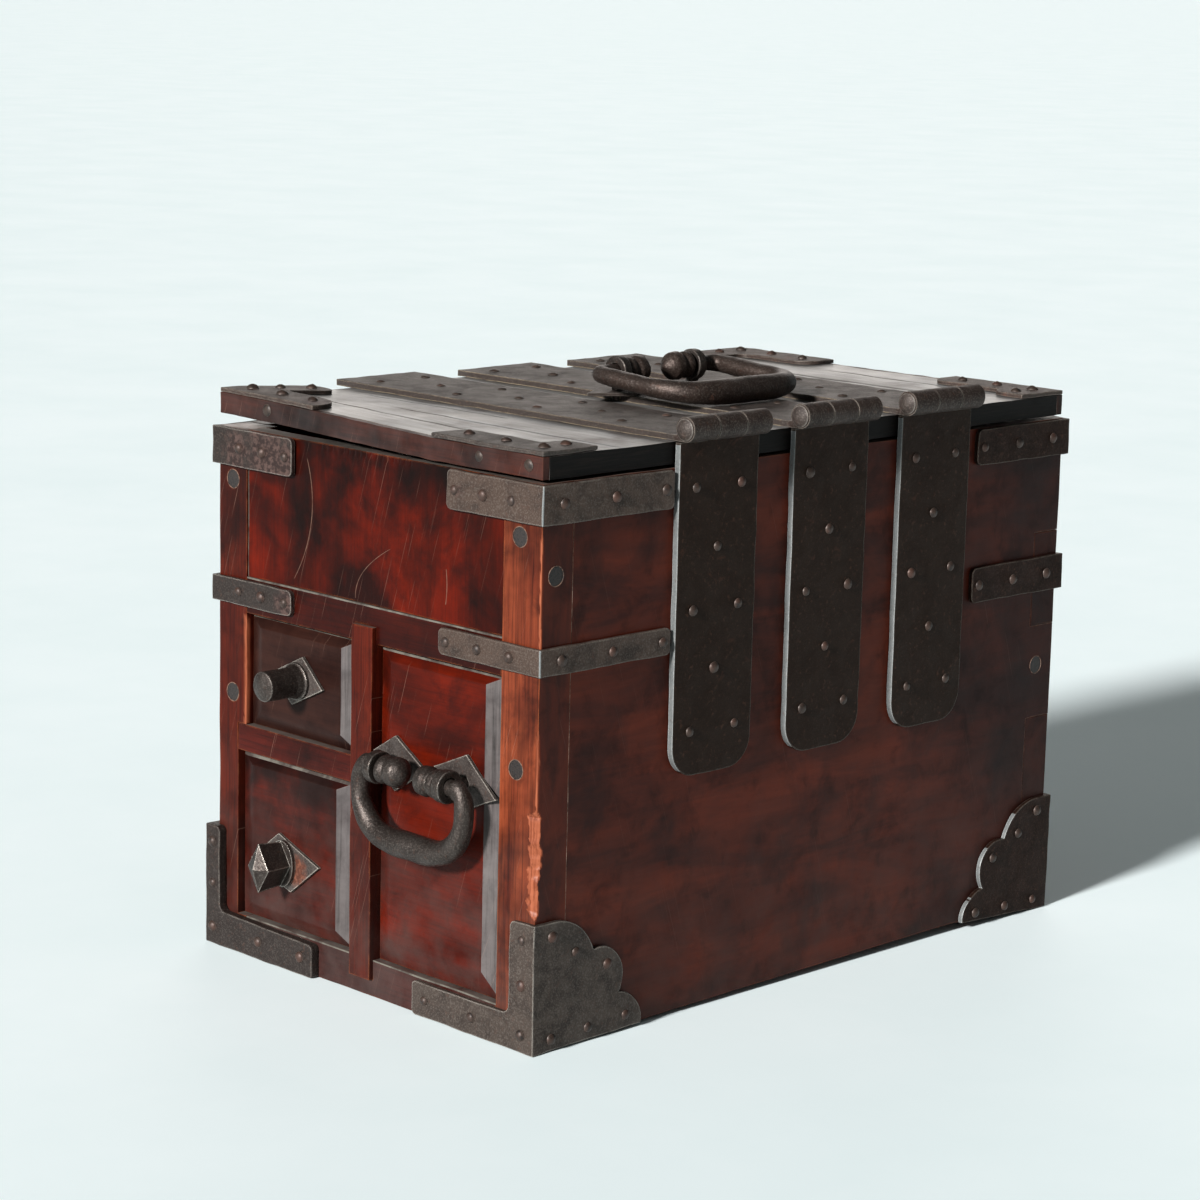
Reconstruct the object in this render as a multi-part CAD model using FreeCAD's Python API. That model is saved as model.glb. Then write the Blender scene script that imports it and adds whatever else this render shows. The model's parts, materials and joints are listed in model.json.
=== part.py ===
import FreeCAD, Part
import math
import os
from FreeCAD import Rotation, Vector

# Small ship chest: a carcass with a hinged lid over an upper compartment, two small drawers
# and a tall drawer below it, iron bands, corner shoes, strap hinges and two bail handles.
# Millimetres. X runs from the left side to the hinge side, Y from the drawer front to the
# back, Z up. The origin is the middle of the underside.

# ---- Carcass -------------------------------------------------------------------------
chest_width = 303.0
chest_depth = 490.0
carcass_height = 346.4
side_thickness = 17.0
back_thickness = 25.0
bottom_thickness = 14.0
floor_thickness = 12.0            # floor of the upper compartment
shelf_thickness = 12.0            # shelf between the two small drawers
partition_thickness = 19.8        # board between the small drawers and the tall one
finger_start = 74.0               # top of the lowest finger of the side boards
finger_pitch = 65.0

# ---- Front frame ---------------------------------------------------------------------
post_depth = 25.0
left_post_width = 28.0
right_post_width = 33.0
lower_notch = 8.5                 # the left post is narrower beside the lower drawer
rail_depth = 20.0
bottom_rail_height = 24.0
middle_rail_bottom = 135.0
middle_rail_height = 18.0
upper_rail_bottom = 227.0
upper_rail_height = 24.0
panel_thickness = 14.0
panel_recess = 1.0
stile_width = 19.8
stile_offset = -5.7               # middle of the centre stile, from the middle of the chest
stile_lap = 3.0                   # the centre stile stands proud of the rails it crosses
stile_halving = 9.0               # and is let into them by this much
stile_foot = 11.0
stile_head = 11.0                 # how far it runs up over the upper rail

# ---- Drawers -------------------------------------------------------------------------
drawer_seat_gap = 0.3             # under a drawer, above its runner
drawer_side_gap = 0.9
drawer_top_gap = 1.6
lower_drawer_slack = 3.6          # extra play at the right of the lower drawer
drawer_end_gap = 15.0             # behind a closed drawer
front_edge_recess = 5.0           # edge of a drawer front, behind the frame
front_field_recess = 0.5          # raised field of a drawer front, behind the frame
front_edge_thickness = 14.0
side_bevel = 13.0
top_bevel = 6.0
bottom_bevel = 10.0
tall_bottom_bevel = 16.0
drawer_side_thickness = 9.0
drawer_back_thickness = 9.0
drawer_bottom_thickness = 7.0
drawer_side_drop = 6.0            # drawer sides are lower than the front
box_inset = 1.0                   # drawer sides stand inside the edges of the front
runner_width = 16.0
guide_height = 20.0

# ---- Lid -----------------------------------------------------------------------------
lid_gap = 2.0
lid_thickness = 14.0
lid_hinge_setback = 1.0
lid_strip_thickness = 5.5
lid_board_count = 3

# ---- Strap hinges --------------------------------------------------------------------
strap_count = 3
strap_width = 70.0
strap_pitch = 103.0
strap_middle = 2.0                # middle of the middle strap, from the middle of the chest
strap_thickness = 4.5
strap_length = 193.4              # of a hanging strap, below the top of the carcass
strap_corner = 20.0
lid_strap_overhangs = (14.0, 7.0, 5.0)  # past the left edge of the lid, front to back
knuckle_radius = 8.0
pin_radius = 3.5
pin_clearance = 0.05
knuckle_gap = 0.3
pin_head_radius = 7.2
pin_head_height = 2.6
pin_tail_radius = 5.2
pin_tail_height = 1.6

# ---- Iron bands ----------------------------------------------------------------------
iron_thickness = 3.5
band_end_radius = 4.0
upper_band_height = 24.5
lower_band_top = 249.0
lower_band_height = 17.0
back_band_height = 24.0
back_band_top = 252.5
right_front_leg = 84.0
left_front_leg = 80.0
lower_front_leg_length = 90.0
near_side_leg = 110.0
back_side_leg = 98.0
back_face_leg = 84.0

# ---- Corner shoes --------------------------------------------------------------------
shoe_foot_length = 110.0
shoe_foot_height = 22.0
shoe_leg_width = 22.0
shoe_leg_height = 81.0
heavy_shoe_thickness = 6.5        # the front left shoe is of heavier iron
heavy_shoe_foot_height = 24.0     # just below the drawer that slides out over it
heavy_shoe_leg_width = 14.5
shoe_inner_radius = 5.0
sole_thickness = 3.0
sole_size = 42.0
leaf_radius = 35.0                # top lobe of the side leaf
lobe_radius = 20.5                # middle lobe
toe_radius = 22.5                 # lowest lobe
leaf_shoulder = 17.0              # where the top lobe starts to round, from the corner
lobe_out = 55.0                   # centre of the middle lobe
lobe_up = 37.5
toe_out = 70.0                    # centre of the lowest lobe
toe_up = 3.5

# ---- Lid corner plates ---------------------------------------------------------------
plate_thickness = 3.0
plate_leg_width = 30.0
plate_front_left_leg = 93.0
plate_front_right_leg = 98.0
plate_left_leg = 76.0
plate_right_leg = 45.0
plate_back_leg = 94.0
plate_end_radius = 14.0
plate_long_end_radius = 26.0      # the front left plate's front leg runs out in a long curve
plate_inner_radius = 6.0

# ---- Bail handles --------------------------------------------------------------------
lozenge_half_length = 28.5
lozenge_half_height = 17.8
lozenge_thickness = 2.5
lozenge_stile_gap = 1.0           # the left plate's tip is cut short beside the centre stile
tall_plate_tilts = (0.0, -11.0)
tall_plate_leans = (0.0, 2.0)
ring_radius = 10.5
ring_thickness = 6.5
tall_ring_height = 14.0           # ring centre above its lozenge plate
lid_ring_height = 12.1
bail_pin_radius = 5.5
bail_pin_clearance = 0.1
eye_shank_radius = 4.0
clench_radius = 8.0
clench_thickness = 2.0
limb_radius = 6.3
bar_radius = 8.8
shoulder_radius = 9.0
bail_knob_radius = 9.8
bead_radius = 9.2
neck_radius = 7.0
knob_start = 1.1                  # between a ring and the bead of the bail, clear of the shank too
bead_length = 7.5
dome_length = 15.5
tall_bail_spacing = 63.5
tall_bail_offset = 3.9            # to the left of the middle of the drawer
tall_bail_spread = 47.7           # half the width of the handle, to the middle of the rod
tall_bail_drop = 43.9
tall_bail_corner = 29.0
tall_bail_height = 156.1          # its pivot, above the underside
lid_bail_spacing = 70.5
lid_bail_spread = 56.3
lid_bail_drop = 82.2
lid_bail_corner = 30.5
lid_bail_middle = 4.0             # along the chest, from its middle
lid_bail_pivot = -3.4             # across the chest, from its middle
rest_gap = 0.3

# ---- Drawer knobs --------------------------------------------------------------------
round_plate_length = 25.2         # half sizes of the plate behind the round knob
round_plate_height = 17.0
round_plate_tilt = -4.5
round_plate_lean = -3.9           # how far its upper corner leans to the left
facet_plate_length = 34.6
facet_plate_height = 19.2
facet_plate_tilt = 5.6
facet_plate_lean = 4.2
round_knob_x = -70.0
round_knob_z = 191.5
round_knob_radius = 9.8
round_knob_foot = 11.2
round_knob_length = 27.5
round_knob_crown = 2.0
facet_knob_x = -81.5
facet_knob_z = 69.3
facet_half_height = 16.5
facet_half_width = 10.5
facet_neck_height = 14.6          # half sizes of the facet knob where it meets its collar
facet_neck_width = 9.4
facet_length = 21.5
facet_point = 4.5
facet_tip = 0.4                   # half size of the flat at its very tip
collar_height = 15.5              # half sizes of the collar below the facet knob
collar_width = 11.6
collar_thickness = 3.0
washer_radius = 12.4
washer_thickness = 2.0

# ---- Nails and plugs -----------------------------------------------------------------
nail_radius = 2.9
nail_height = 1.7
lid_nail_radius = 3.2
lid_nail_height = 3.0
left_edge_nail = 48.0             # nails in the front edge of the lid, from its left corner
right_edge_nail = 56.0            # and from its right corner
corner_edge_nail = 13.0
nail_edge = 7.0
nail_corner = 18.0
strap_nail_drop = 13.0            # highest row of nails, below the top of the carcass
strap_nail_pitch = 38.0
strap_nail_spread = 20.0
plug_radius = 6.0
plug_length = 14.0
plug_upper_drop = 33.4            # below the top of the carcass
plug_lower_drop = 54.5            # below the bottom of the upper rail
plug_in_post = 14.0               # plug centre, from the outer edge of its post
side_plug_drop = 55.4             # below the top of the carcass
side_plug_in = 11.5
back_plug_rise = 37.0             # above the bottom of the second finger of the side board
back_plug_in = 17.0

# ---- Places that follow from the sizes above -----------------------------------------
half_width = chest_width / 2
half_depth = chest_depth / 2
front_face = -half_depth
inner_left = -half_width + side_thickness
inner_right = half_width - side_thickness
inner_back = half_depth - back_thickness
frame_back = front_face + rail_depth
post_back = front_face + post_depth
upper_left_edge = -half_width + left_post_width
lower_left_edge = upper_left_edge - lower_notch
right_edge = half_width - right_post_width
stile_left = stile_offset - stile_width / 2
stile_right = stile_offset + stile_width / 2
partition_left = stile_offset - partition_thickness / 2
partition_right = stile_offset + partition_thickness / 2
middle_rail_top = middle_rail_bottom + middle_rail_height
upper_rail_top = upper_rail_bottom + upper_rail_height
floor_bottom = upper_rail_bottom + 2.0
floor_top = floor_bottom + floor_thickness
lid_bottom = carcass_height + lid_gap
lid_top = lid_bottom + lid_thickness
lid_right = half_width - lid_hinge_setback
strap_top = lid_top + strap_thickness
hinge_x = half_width + knuckle_radius
hinge_z = lid_top + knuckle_radius
strap_bottom = carcass_height - strap_length
plug_upper = carcass_height - plug_upper_drop
plug_lower = upper_rail_bottom - plug_lower_drop
back_plug_height = finger_start + finger_pitch + back_plug_rise
strap_ys = [strap_middle + strap_pitch * (i - (strap_count - 1) / 2) for i in range(strap_count)]


# ---- Shape helpers -------------------------------------------------------------------
def block(x0, x1, y0, y1, z0, z1):
    """Box between two corners, given in any order."""
    low = Vector(min(x0, x1), min(y0, y1), min(z0, z1))
    high = Vector(max(x0, x1), max(y0, y1), max(z0, z1))
    return Part.makeBox(high.x - low.x, high.y - low.y, high.z - low.z, low)


def rod(radius, length, start, direction):
    return Part.makeCylinder(radius, length, Vector(*start), Vector(*direction))


def prism(outline, thickness):
    """Solid of a closed flat outline in XY, thickened along +Z."""
    return Part.Face(outline).extrude(Vector(0, 0, thickness))


def polygon(points):
    corners = [Vector(x, y, 0) for x, y in points]
    return Part.makePolygon(corners + corners[:1])


def rounded_at(shape, radius, pick):
    """Fillet the edges that pick() chooses."""
    return shape.makeFillet(radius, [e for e in shape.Edges if pick(e)])


def edge_middle(edge):
    return edge.valueAt((edge.FirstParameter + edge.LastParameter) / 2)


def runs_along(edge, axis):
    """True for a straight edge along one axis (0, 1 or 2)."""
    if not isinstance(edge.Curve, Part.Line):
        return False
    direction = edge.Curve.Direction
    return abs(abs(direction[axis]) - 1) < 1e-6


def revolve_x(profile):
    """Turn a closed outline of (x, radius) points about the X axis."""
    return Part.Face(polygon(profile)).revolve(Vector(0, 0, 0), Vector(1, 0, 0), 360)


def group(solids):
    """Several separate solids in one node."""
    return Part.makeCompound(solids)


def save(name, shape):
    shape.exportStep("parts/" + name + ".step")


# ---- Carcass boards ------------------------------------------------------------------
def finger_boxes():
    """Zones of the back corners that belong to the back board."""
    zones = []
    low = finger_start
    while low + finger_pitch < carcass_height:
        zones.append((low, low + finger_pitch))
        low += 2 * finger_pitch
    return [block(-half_width, half_width, inner_back, half_depth, z0, z1) for z0, z1 in zones]


def soles():
    """Leaves of the corner shoes, let into the underside at the four corners."""
    tools = []
    for sx in (-1, 1):
        for sy in (-1, 1):
            x, y = sx * half_width, sy * half_depth
            tools.append(block(x, x - sx * sole_size, y, y - sy * sole_size, 0, sole_thickness))
    return tools


def plug_places():
    """Centre on the surface and inward direction of each wooden plug."""
    left_x = -half_width + plug_in_post
    right_x = half_width - plug_in_post - 5.0
    places = [((x, front_face, z), (0, 1, 0)) for x in (left_x, right_x) for z in (plug_upper, plug_lower)]
    places.append(((half_width, front_face + side_plug_in, carcass_height - side_plug_drop), (-1, 0, 0)))
    places.append(((half_width, half_depth - back_plug_in, back_plug_height), (-1, 0, 0)))
    return places


def plugs():
    return [rod(plug_radius, plug_length, place, inward) for place, inward in plug_places()]


def side_board(side):
    """side is +1 for the hinge side and -1 for the left side."""
    outer = side * half_width
    board = block(outer, outer - side * side_thickness, post_back, half_depth, 0, carcass_height)
    return board.cut(finger_boxes() + soles() + plugs())


def back_board():
    board = block(inner_left, inner_right, inner_back, half_depth, 0, carcass_height)
    return board.fuse(finger_boxes()).removeSplitter().cut(soles())


def front_post(side, width):
    outer = side * half_width
    post = block(outer, outer - side * width, front_face, post_back, 0, carcass_height)
    if side < 0:
        notch = block(lower_left_edge, upper_left_edge, front_face, post_back,
                      bottom_rail_height, middle_rail_top)
        post = post.cut(notch)
    return post.cut(soles() + plugs())


def level_board(x1, z0, z1):
    """Board from the left side to x1, from the rails to the back, notched round the posts."""
    board = block(inner_left, x1, frame_back, inner_back, z0, z1)
    return board.cut([front_post(-1, left_post_width), front_post(1, right_post_width)])


def centre_stile():
    face = block(stile_left, stile_right, front_face - stile_lap, front_face + stile_halving,
                 stile_foot, upper_rail_bottom + stile_head)
    body = block(stile_left, stile_right, front_face, frame_back,
                 bottom_rail_height, upper_rail_bottom)
    return face.fuse(body).removeSplitter()


def rail(z0, z1, x0=upper_left_edge, x1=right_edge):
    return block(x0, x1, front_face, frame_back, z0, z1).cut(centre_stile())


def upper_front_panel():
    front = front_face + panel_recess
    return block(upper_left_edge, right_edge, front, front + panel_thickness,
                 upper_rail_top, carcass_height)


def drawer_runners():
    """Strips that carry the lower drawers, and strips that guide drawers sideways."""
    y0, y1 = post_back, inner_back
    z0, z1 = bottom_thickness, bottom_rail_height
    carriers = [
        block(inner_left, inner_left + runner_width, y0, y1, z0, z1),
        block(partition_left - runner_width, partition_left, y0, y1, z0, z1),
        block(partition_right, partition_right + runner_width, y0, y1, z0, z1),
        block(right_edge - runner_width, inner_right, y0, y1, z0, z1),
    ]
    guides = [
        block(inner_left, upper_left_edge, y0, y1, middle_rail_top, middle_rail_top + guide_height),
        block(right_edge, inner_right, y0, y1, z1, z1 + guide_height),
    ]
    return group(carriers + guides)


def make_carcass():
    save("side_board_right", side_board(1))
    save("side_board_left", side_board(-1))
    save("back_board", back_board())
    save("bottom_board", level_board(inner_right, 0, bottom_thickness).cut(soles()))
    save("front_post_left", front_post(-1, left_post_width))
    save("front_post_right", front_post(1, right_post_width))
    save("upper_front_panel", upper_front_panel())
    save("upper_rail", rail(upper_rail_bottom, upper_rail_top))
    save("bottom_rail", rail(0, bottom_rail_height).cut(soles()))
    save("middle_rail", rail(middle_rail_bottom, middle_rail_top, lower_left_edge, stile_left))
    save("centre_stile", centre_stile())
    save("compartment_floor", level_board(inner_right, floor_bottom, floor_top))
    save("drawer_partition", block(partition_left, partition_right, frame_back, inner_back,
                                   bottom_thickness, floor_bottom))
    save("drawer_shelf", level_board(partition_left, middle_rail_top - shelf_thickness, middle_rail_top))
    save("drawer_runners", drawer_runners())
    save("wooden_plugs", group(plugs()))


# ---- Nails ---------------------------------------------------------------------------
def nail(place, outward, radius=nail_radius, height=nail_height):
    """Domed nail head that sits on the iron; outward is a unit axis."""
    ball = (radius ** 2 + height ** 2) / (2 * height)
    start = math.degrees(math.asin((ball - height) / ball))
    head = Part.makeSphere(ball, Vector(0, 0, -(ball - height)), Vector(0, 0, 1), start, 90, 360)
    head.Placement = FreeCAD.Placement(Vector(*place), Rotation(Vector(0, 0, 1), Vector(*outward)))
    return head


def spread(count, start, end):
    """Evenly spaced numbers from start to end."""
    return [start + (end - start) * i / (count - 1) for i in range(count)]


def strap_rows(start, pitch, rows):
    """Places along and across a strap for rows of two, one, two, one ... nails."""
    places = []
    for i in range(rows):
        along = start + pitch * i
        offsets = (-strap_nail_spread, strap_nail_spread) if i % 2 == 0 else (0,)
        places += [(along, across) for across in offsets]
    return places


# ---- Corner bands --------------------------------------------------------------------
def corner_band(sx, sy, z0, z1, face_leg, side_leg):
    """Flat iron bent round one corner of the carcass, with rounded free ends."""
    t = iron_thickness
    x_out, y_out = sx * (half_width + t), sy * (half_depth + t)
    x_end, y_end = x_out - sx * face_leg, y_out - sy * side_leg
    across = block(x_out, x_end, y_out, y_out - sy * t, z0, z1)
    along = block(x_out, x_out - sx * t, y_out, y_end, z0, z1)
    across = rounded_at(across, band_end_radius,
                        lambda e: runs_along(e, 1) and abs(edge_middle(e).x - x_end) < 0.01)
    along = rounded_at(along, band_end_radius,
                       lambda e: runs_along(e, 0) and abs(edge_middle(e).y - y_end) < 0.01)
    return across.fuse(along).removeSplitter()


def band_nails(sx, sy, z, face_leg, side_leg):
    """Three nails in each leg of a band."""
    t = iron_thickness
    x_out, y_out = sx * (half_width + t), sy * (half_depth + t)
    face = [nail((x_out - sx * d, y_out, z), (0, sy, 0)) for d in spread(3, face_leg - nail_edge, nail_corner + 9)]
    side = [nail((x_out, y_out - sy * d, z), (sx, 0, 0)) for d in spread(3, side_leg - nail_edge, nail_corner)]
    return face + side


def band_list():
    """Name, corner, height range and legs of each band."""
    top = carcass_height
    upper = top - upper_band_height
    lower = lower_band_top - lower_band_height
    back = back_band_top - back_band_height
    return [
        ("upper_band_front_left", -1, -1, upper, top, left_front_leg, near_side_leg),
        ("upper_band_front_right", 1, -1, upper, top, right_front_leg, near_side_leg),
        ("lower_band_front_left", -1, -1, lower, lower_band_top, left_front_leg, near_side_leg),
        ("lower_band_front_right", 1, -1, lower, lower_band_top, lower_front_leg_length, near_side_leg),
        ("upper_bands_back", -1, 1, upper, top, back_face_leg, back_side_leg),
        ("upper_bands_back", 1, 1, upper, top, back_face_leg, back_side_leg),
        ("lower_bands_back", -1, 1, back, back_band_top, back_face_leg, back_side_leg),
        ("lower_bands_back", 1, 1, back, back_band_top, back_face_leg, back_side_leg),
    ]


def make_bands():
    """Save the bands and return their nails."""
    bands, nails = {}, []
    for name, sx, sy, z0, z1, face_leg, side_leg in band_list():
        bands.setdefault(name, []).append(corner_band(sx, sy, z0, z1, face_leg, side_leg))
        nails += band_nails(sx, sy, (z0 + z1) / 2, face_leg, side_leg)
    for name, solids in bands.items():
        save(name, group(solids) if len(solids) > 1 else solids[0])
    return nails


# ---- Corner shoes --------------------------------------------------------------------
def crossing(c0, r0, c1, r1):
    """The crossing of two circles that lies further from the corner."""
    dx, dy = c1[0] - c0[0], c1[1] - c0[1]
    gap = math.hypot(dx, dy)
    along = (gap ** 2 + r0 ** 2 - r1 ** 2) / (2 * gap)
    off = math.sqrt(r0 ** 2 - along ** 2)
    return (c0[0] + (along * dx - off * dy) / gap, c0[1] + (along * dy + off * dx) / gap)


def arc(centre, radius, start, end):
    """Clockwise arc between two points of a circle."""
    a0 = math.atan2(start[1] - centre[1], start[0] - centre[0])
    a1 = math.atan2(end[1] - centre[1], end[0] - centre[0])
    middle = (a0 + a1) / 2
    via = Vector(centre[0] + radius * math.cos(middle), centre[1] + radius * math.sin(middle), 0)
    return Part.Arc(Vector(*start, 0), via, Vector(*end, 0)).toShape()


def trefoil():
    """Side leaf of a shoe: three lobes that step down away from the corner."""
    top = (leaf_shoulder, shoe_leg_height - leaf_radius)
    lobe = (lobe_out, lobe_up)
    toe = (toe_out, toe_up)
    start = (leaf_shoulder, shoe_leg_height)
    upper_notch = crossing(top, leaf_radius, lobe, lobe_radius)
    lower_notch_point = crossing(lobe, lobe_radius, toe, toe_radius)
    foot = (toe_out + math.sqrt(toe_radius ** 2 - toe_up ** 2), 0)
    edges = [
        arc(top, leaf_radius, start, upper_notch),
        arc(lobe, lobe_radius, upper_notch, lower_notch_point),
        arc(toe, toe_radius, lower_notch_point, foot),
        Part.makeLine(Vector(*foot, 0), Vector(0, 0, 0)),
        Part.makeLine(Vector(0, 0, 0), Vector(0, shoe_leg_height, 0)),
        Part.makeLine(Vector(0, shoe_leg_height, 0), Vector(*start, 0)),
    ]
    return Part.Wire(edges)


class ShoeSizes:
    """Sizes of one shoe's iron: its thickness, the height of its foot and the width of its leg."""

    def __init__(self, thickness, foot_height, leg_width):
        self.thickness = thickness
        self.foot_height = foot_height
        self.leg_width = leg_width


def shoe_sizes(sx, sy):
    if (sx, sy) == (-1, -1):
        return ShoeSizes(heavy_shoe_thickness, heavy_shoe_foot_height, heavy_shoe_leg_width)
    return ShoeSizes(iron_thickness, shoe_foot_height, shoe_leg_width)


def shoe_face_leaf(sizes):
    """Leaf on the front or back: an upright leg and a long foot."""
    foot, leg = sizes.foot_height, sizes.leg_width
    leaf = prism(polygon([(0, 0), (shoe_foot_length, 0), (shoe_foot_length, foot),
                          (leg, foot), (leg, shoe_leg_height), (0, shoe_leg_height)]), sizes.thickness)
    leaf = rounded_at(leaf, shoe_inner_radius, lambda e: runs_along(e, 2)
                      and abs(edge_middle(e).x - leg) < 0.01
                      and abs(edge_middle(e).y - foot) < 0.01)
    return rounded_at(leaf, band_end_radius, lambda e: runs_along(e, 2)
                      and (abs(edge_middle(e).x - shoe_foot_length) < 0.01
                           or (abs(edge_middle(e).x - leg) < 0.01
                               and abs(edge_middle(e).y - shoe_leg_height) < 0.01)))


def stand_on(leaf, sx, sy, t, on_side):
    """Turn a flat leaf, drawn from its corner, on to the face or the side of the carcass."""
    corner = Vector(sx * (half_width + t), sy * (half_depth + t), 0)
    matrix = FreeCAD.Matrix()
    if on_side:
        matrix.A11, matrix.A12, matrix.A13 = 0, 0, -sx
        matrix.A21, matrix.A22, matrix.A23 = -sy, 0, 0
    else:
        matrix.A11, matrix.A12, matrix.A13 = -sx, 0, 0
        matrix.A21, matrix.A22, matrix.A23 = 0, 0, -sy
    matrix.A31, matrix.A32, matrix.A33 = 0, 1, 0
    placed = leaf.transformGeometry(matrix)
    placed.translate(corner)
    return placed


def corner_shoe(sx, sy):
    sizes = shoe_sizes(sx, sy)
    x, y, t = sx * half_width, sy * half_depth, sizes.thickness
    face = stand_on(shoe_face_leaf(sizes), sx, sy, t, False)
    side = stand_on(prism(trefoil(), t), sx, sy, t, True)
    sole = block(x + sx * t, x - sx * sole_size, y + sy * t, y - sy * sole_size, 0, sole_thickness)
    return face.fuse([side, sole]).removeSplitter()


def shoe_nails(sx, sy):
    """Nails of one shoe: five on the face and six on the side leaf."""
    sizes = shoe_sizes(sx, sy)
    x_out, y_out = sx * (half_width + sizes.thickness), sy * (half_depth + sizes.thickness)
    low, leg = sizes.foot_height / 2, sizes.leg_width / 2
    face = [(leg, low), (shoe_foot_length / 2, low), (shoe_foot_length - 12, low), (leg, 42.0), (leg, 70.0)]
    side = [(15.0, 72.0), (35.0, 59.0), (62.0, 46.0), (78.5, 10.0), (46.5, 9.0), (15.5, 8.0)]
    return ([nail((x_out - sx * d, y_out, z), (0, sy, 0)) for d, z in face]
            + [nail((x_out, y_out - sy * d, z), (sx, 0, 0)) for d, z in side])


def make_shoes():
    """Save the corner shoes and return their nails."""
    nails = []
    for name, sx, sy in (("front_left", -1, -1), ("front_right", 1, -1),
                         ("back_left", -1, 1), ("back_right", 1, 1)):
        save("corner_shoe_" + name, corner_shoe(sx, sy))
        nails += shoe_nails(sx, sy)
    return nails


# ---- Strap hinges --------------------------------------------------------------------
def knuckle(y0, y1):
    return rod(knuckle_radius, y1 - y0, (hinge_x, y0, hinge_z), (0, 1, 0))


def pin_bore(y0, y1, radius):
    return rod(radius, y1 - y0, (hinge_x, y0, hinge_z), (0, 1, 0))


def knuckle_edges(y):
    """The two places across a strap where its middle knuckle starts and ends."""
    third = strap_width / 6
    return y - third, y + third


def hanging_strap(y):
    """Strap nailed to the side, with the middle knuckle of the hinge at its head."""
    y0, y1 = y - strap_width / 2, y + strap_width / 2
    x0, x1 = half_width, half_width + strap_thickness
    shoulder = hinge_z - knuckle_radius - knuckle_gap
    plate = block(x0, x1, y0, y1, strap_bottom, shoulder)
    plate = rounded_at(plate, strap_corner,
                       lambda e: runs_along(e, 0) and abs(edge_middle(e).z - strap_bottom) < 0.01)
    k0, k1 = knuckle_edges(y)
    tongue = block(x0, x1, k0, k1, shoulder - 1, hinge_z)
    strap = plate.fuse([tongue, knuckle(k0, k1)]).removeSplitter()
    return strap.cut(pin_bore(k0, k1, pin_radius))


def lid_strap(y, overhang):
    """Strap across the lid, with the two outer knuckles of the hinge."""
    y0, y1 = y - strap_width / 2, y + strap_width / 2
    k0, k1 = knuckle_edges(y)
    strap = block(-half_width - overhang, half_width - knuckle_gap, y0, y1, lid_top, strap_top)
    solids = []
    for a, b in ((y0, k0 - knuckle_gap), (k1 + knuckle_gap, y1)):
        solids.append(block(half_width - 1, hinge_x, a, b, lid_top, strap_top))
        solids.append(knuckle(a, b))
    strap = strap.fuse(solids).removeSplitter()
    return strap.cut(pin_bore(y0, y1, pin_radius + pin_clearance))


def hinge_pin(y):
    """Pin with a round head at the drawer end and a smaller peened end behind."""
    y0 = y - strap_width / 2 - knuckle_gap
    y1 = y + strap_width / 2 + knuckle_gap
    body = pin_bore(y0, y1, pin_radius)
    head = nail((hinge_x, y0, hinge_z), (0, -1, 0), pin_head_radius, pin_head_height)
    tail = nail((hinge_x, y1, hinge_z), (0, 1, 0), pin_tail_radius, pin_tail_height)
    return body.fuse([head, tail]).removeSplitter()


def hanging_strap_nails(y):
    x = half_width + strap_thickness
    return [nail((x, y + across, z), (1, 0, 0))
            for z, across in strap_rows(carcass_height - strap_nail_drop, -strap_nail_pitch, 5)]


def lid_strap_nails(y):
    start = -half_width + 14.0
    return [nail((x, y + across, strap_top), (0, 0, 1))
            for x, across in strap_rows(start, strap_nail_pitch, 8)]


def make_hinges():
    """Save the hanging straps and pins and return the nails of the hanging straps."""
    nails = []
    for i, y in enumerate(strap_ys):
        save("hanging_strap_%d" % (i + 1), hanging_strap(y))
        nails += hanging_strap_nails(y)
    save("hinge_pins", group([hinge_pin(y) for y in strap_ys]))
    return nails


# ---- Lozenge plates and eyebolts -----------------------------------------------------
def lozenge(half_length, half_height, tilt=0.0, lean=0.0):
    """Flat lozenge in XY with a shank hole at its middle, its underside at z = 0.

    tilt turns it, in degrees, and lean moves its upper corner to the left and its lower one
    to the right."""
    plate = prism(polygon([(half_length, 0), (-lean, half_height), (-half_length, 0), (lean, -half_height)]),
                  lozenge_thickness)
    plate = plate.cut(rod(eye_shank_radius, lozenge_thickness, (0, 0, 0), (0, 0, 1)))
    plate.rotate(Vector(0, 0, 0), Vector(0, 0, 1), tilt)
    return plate


def eyebolt(ring_height, grip):
    """Ring on a shank, ring centre at the origin, ring axis along X, shank along -Z.

    grip is the thickness that the shank passes through below the lozenge plate's top."""
    bore = bail_pin_radius + bail_pin_clearance
    end = -(ring_height + grip)
    ring = rod(ring_radius, ring_thickness, (-ring_thickness / 2, 0, 0), (1, 0, 0))
    shank = rod(eye_shank_radius, -end, (0, 0, end), (0, 0, 1))
    clench = rod(clench_radius, clench_thickness, (0, 0, end - clench_thickness), (0, 0, 1))
    hole = rod(bore, 2 * ring_thickness, (-ring_thickness, 0, 0), (1, 0, 0))
    return ring.fuse([shank, clench]).removeSplitter().cut(hole)


def face_forward(shape, x, y, z):
    """Turn a piece drawn with its outward side up so that it faces -Y, and place it."""
    turned = shape.copy()
    turned.rotate(Vector(0, 0, 0), Vector(1, 0, 0), 90)
    turned.translate(Vector(x, y, z))
    return turned


def face_up(shape, x, y, z):
    """Turn a piece drawn along X so that it runs along Y, and place it."""
    turned = shape.copy()
    turned.rotate(Vector(0, 0, 0), Vector(0, 0, 1), 90)
    turned.translate(Vector(x, y, z))
    return turned


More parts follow.
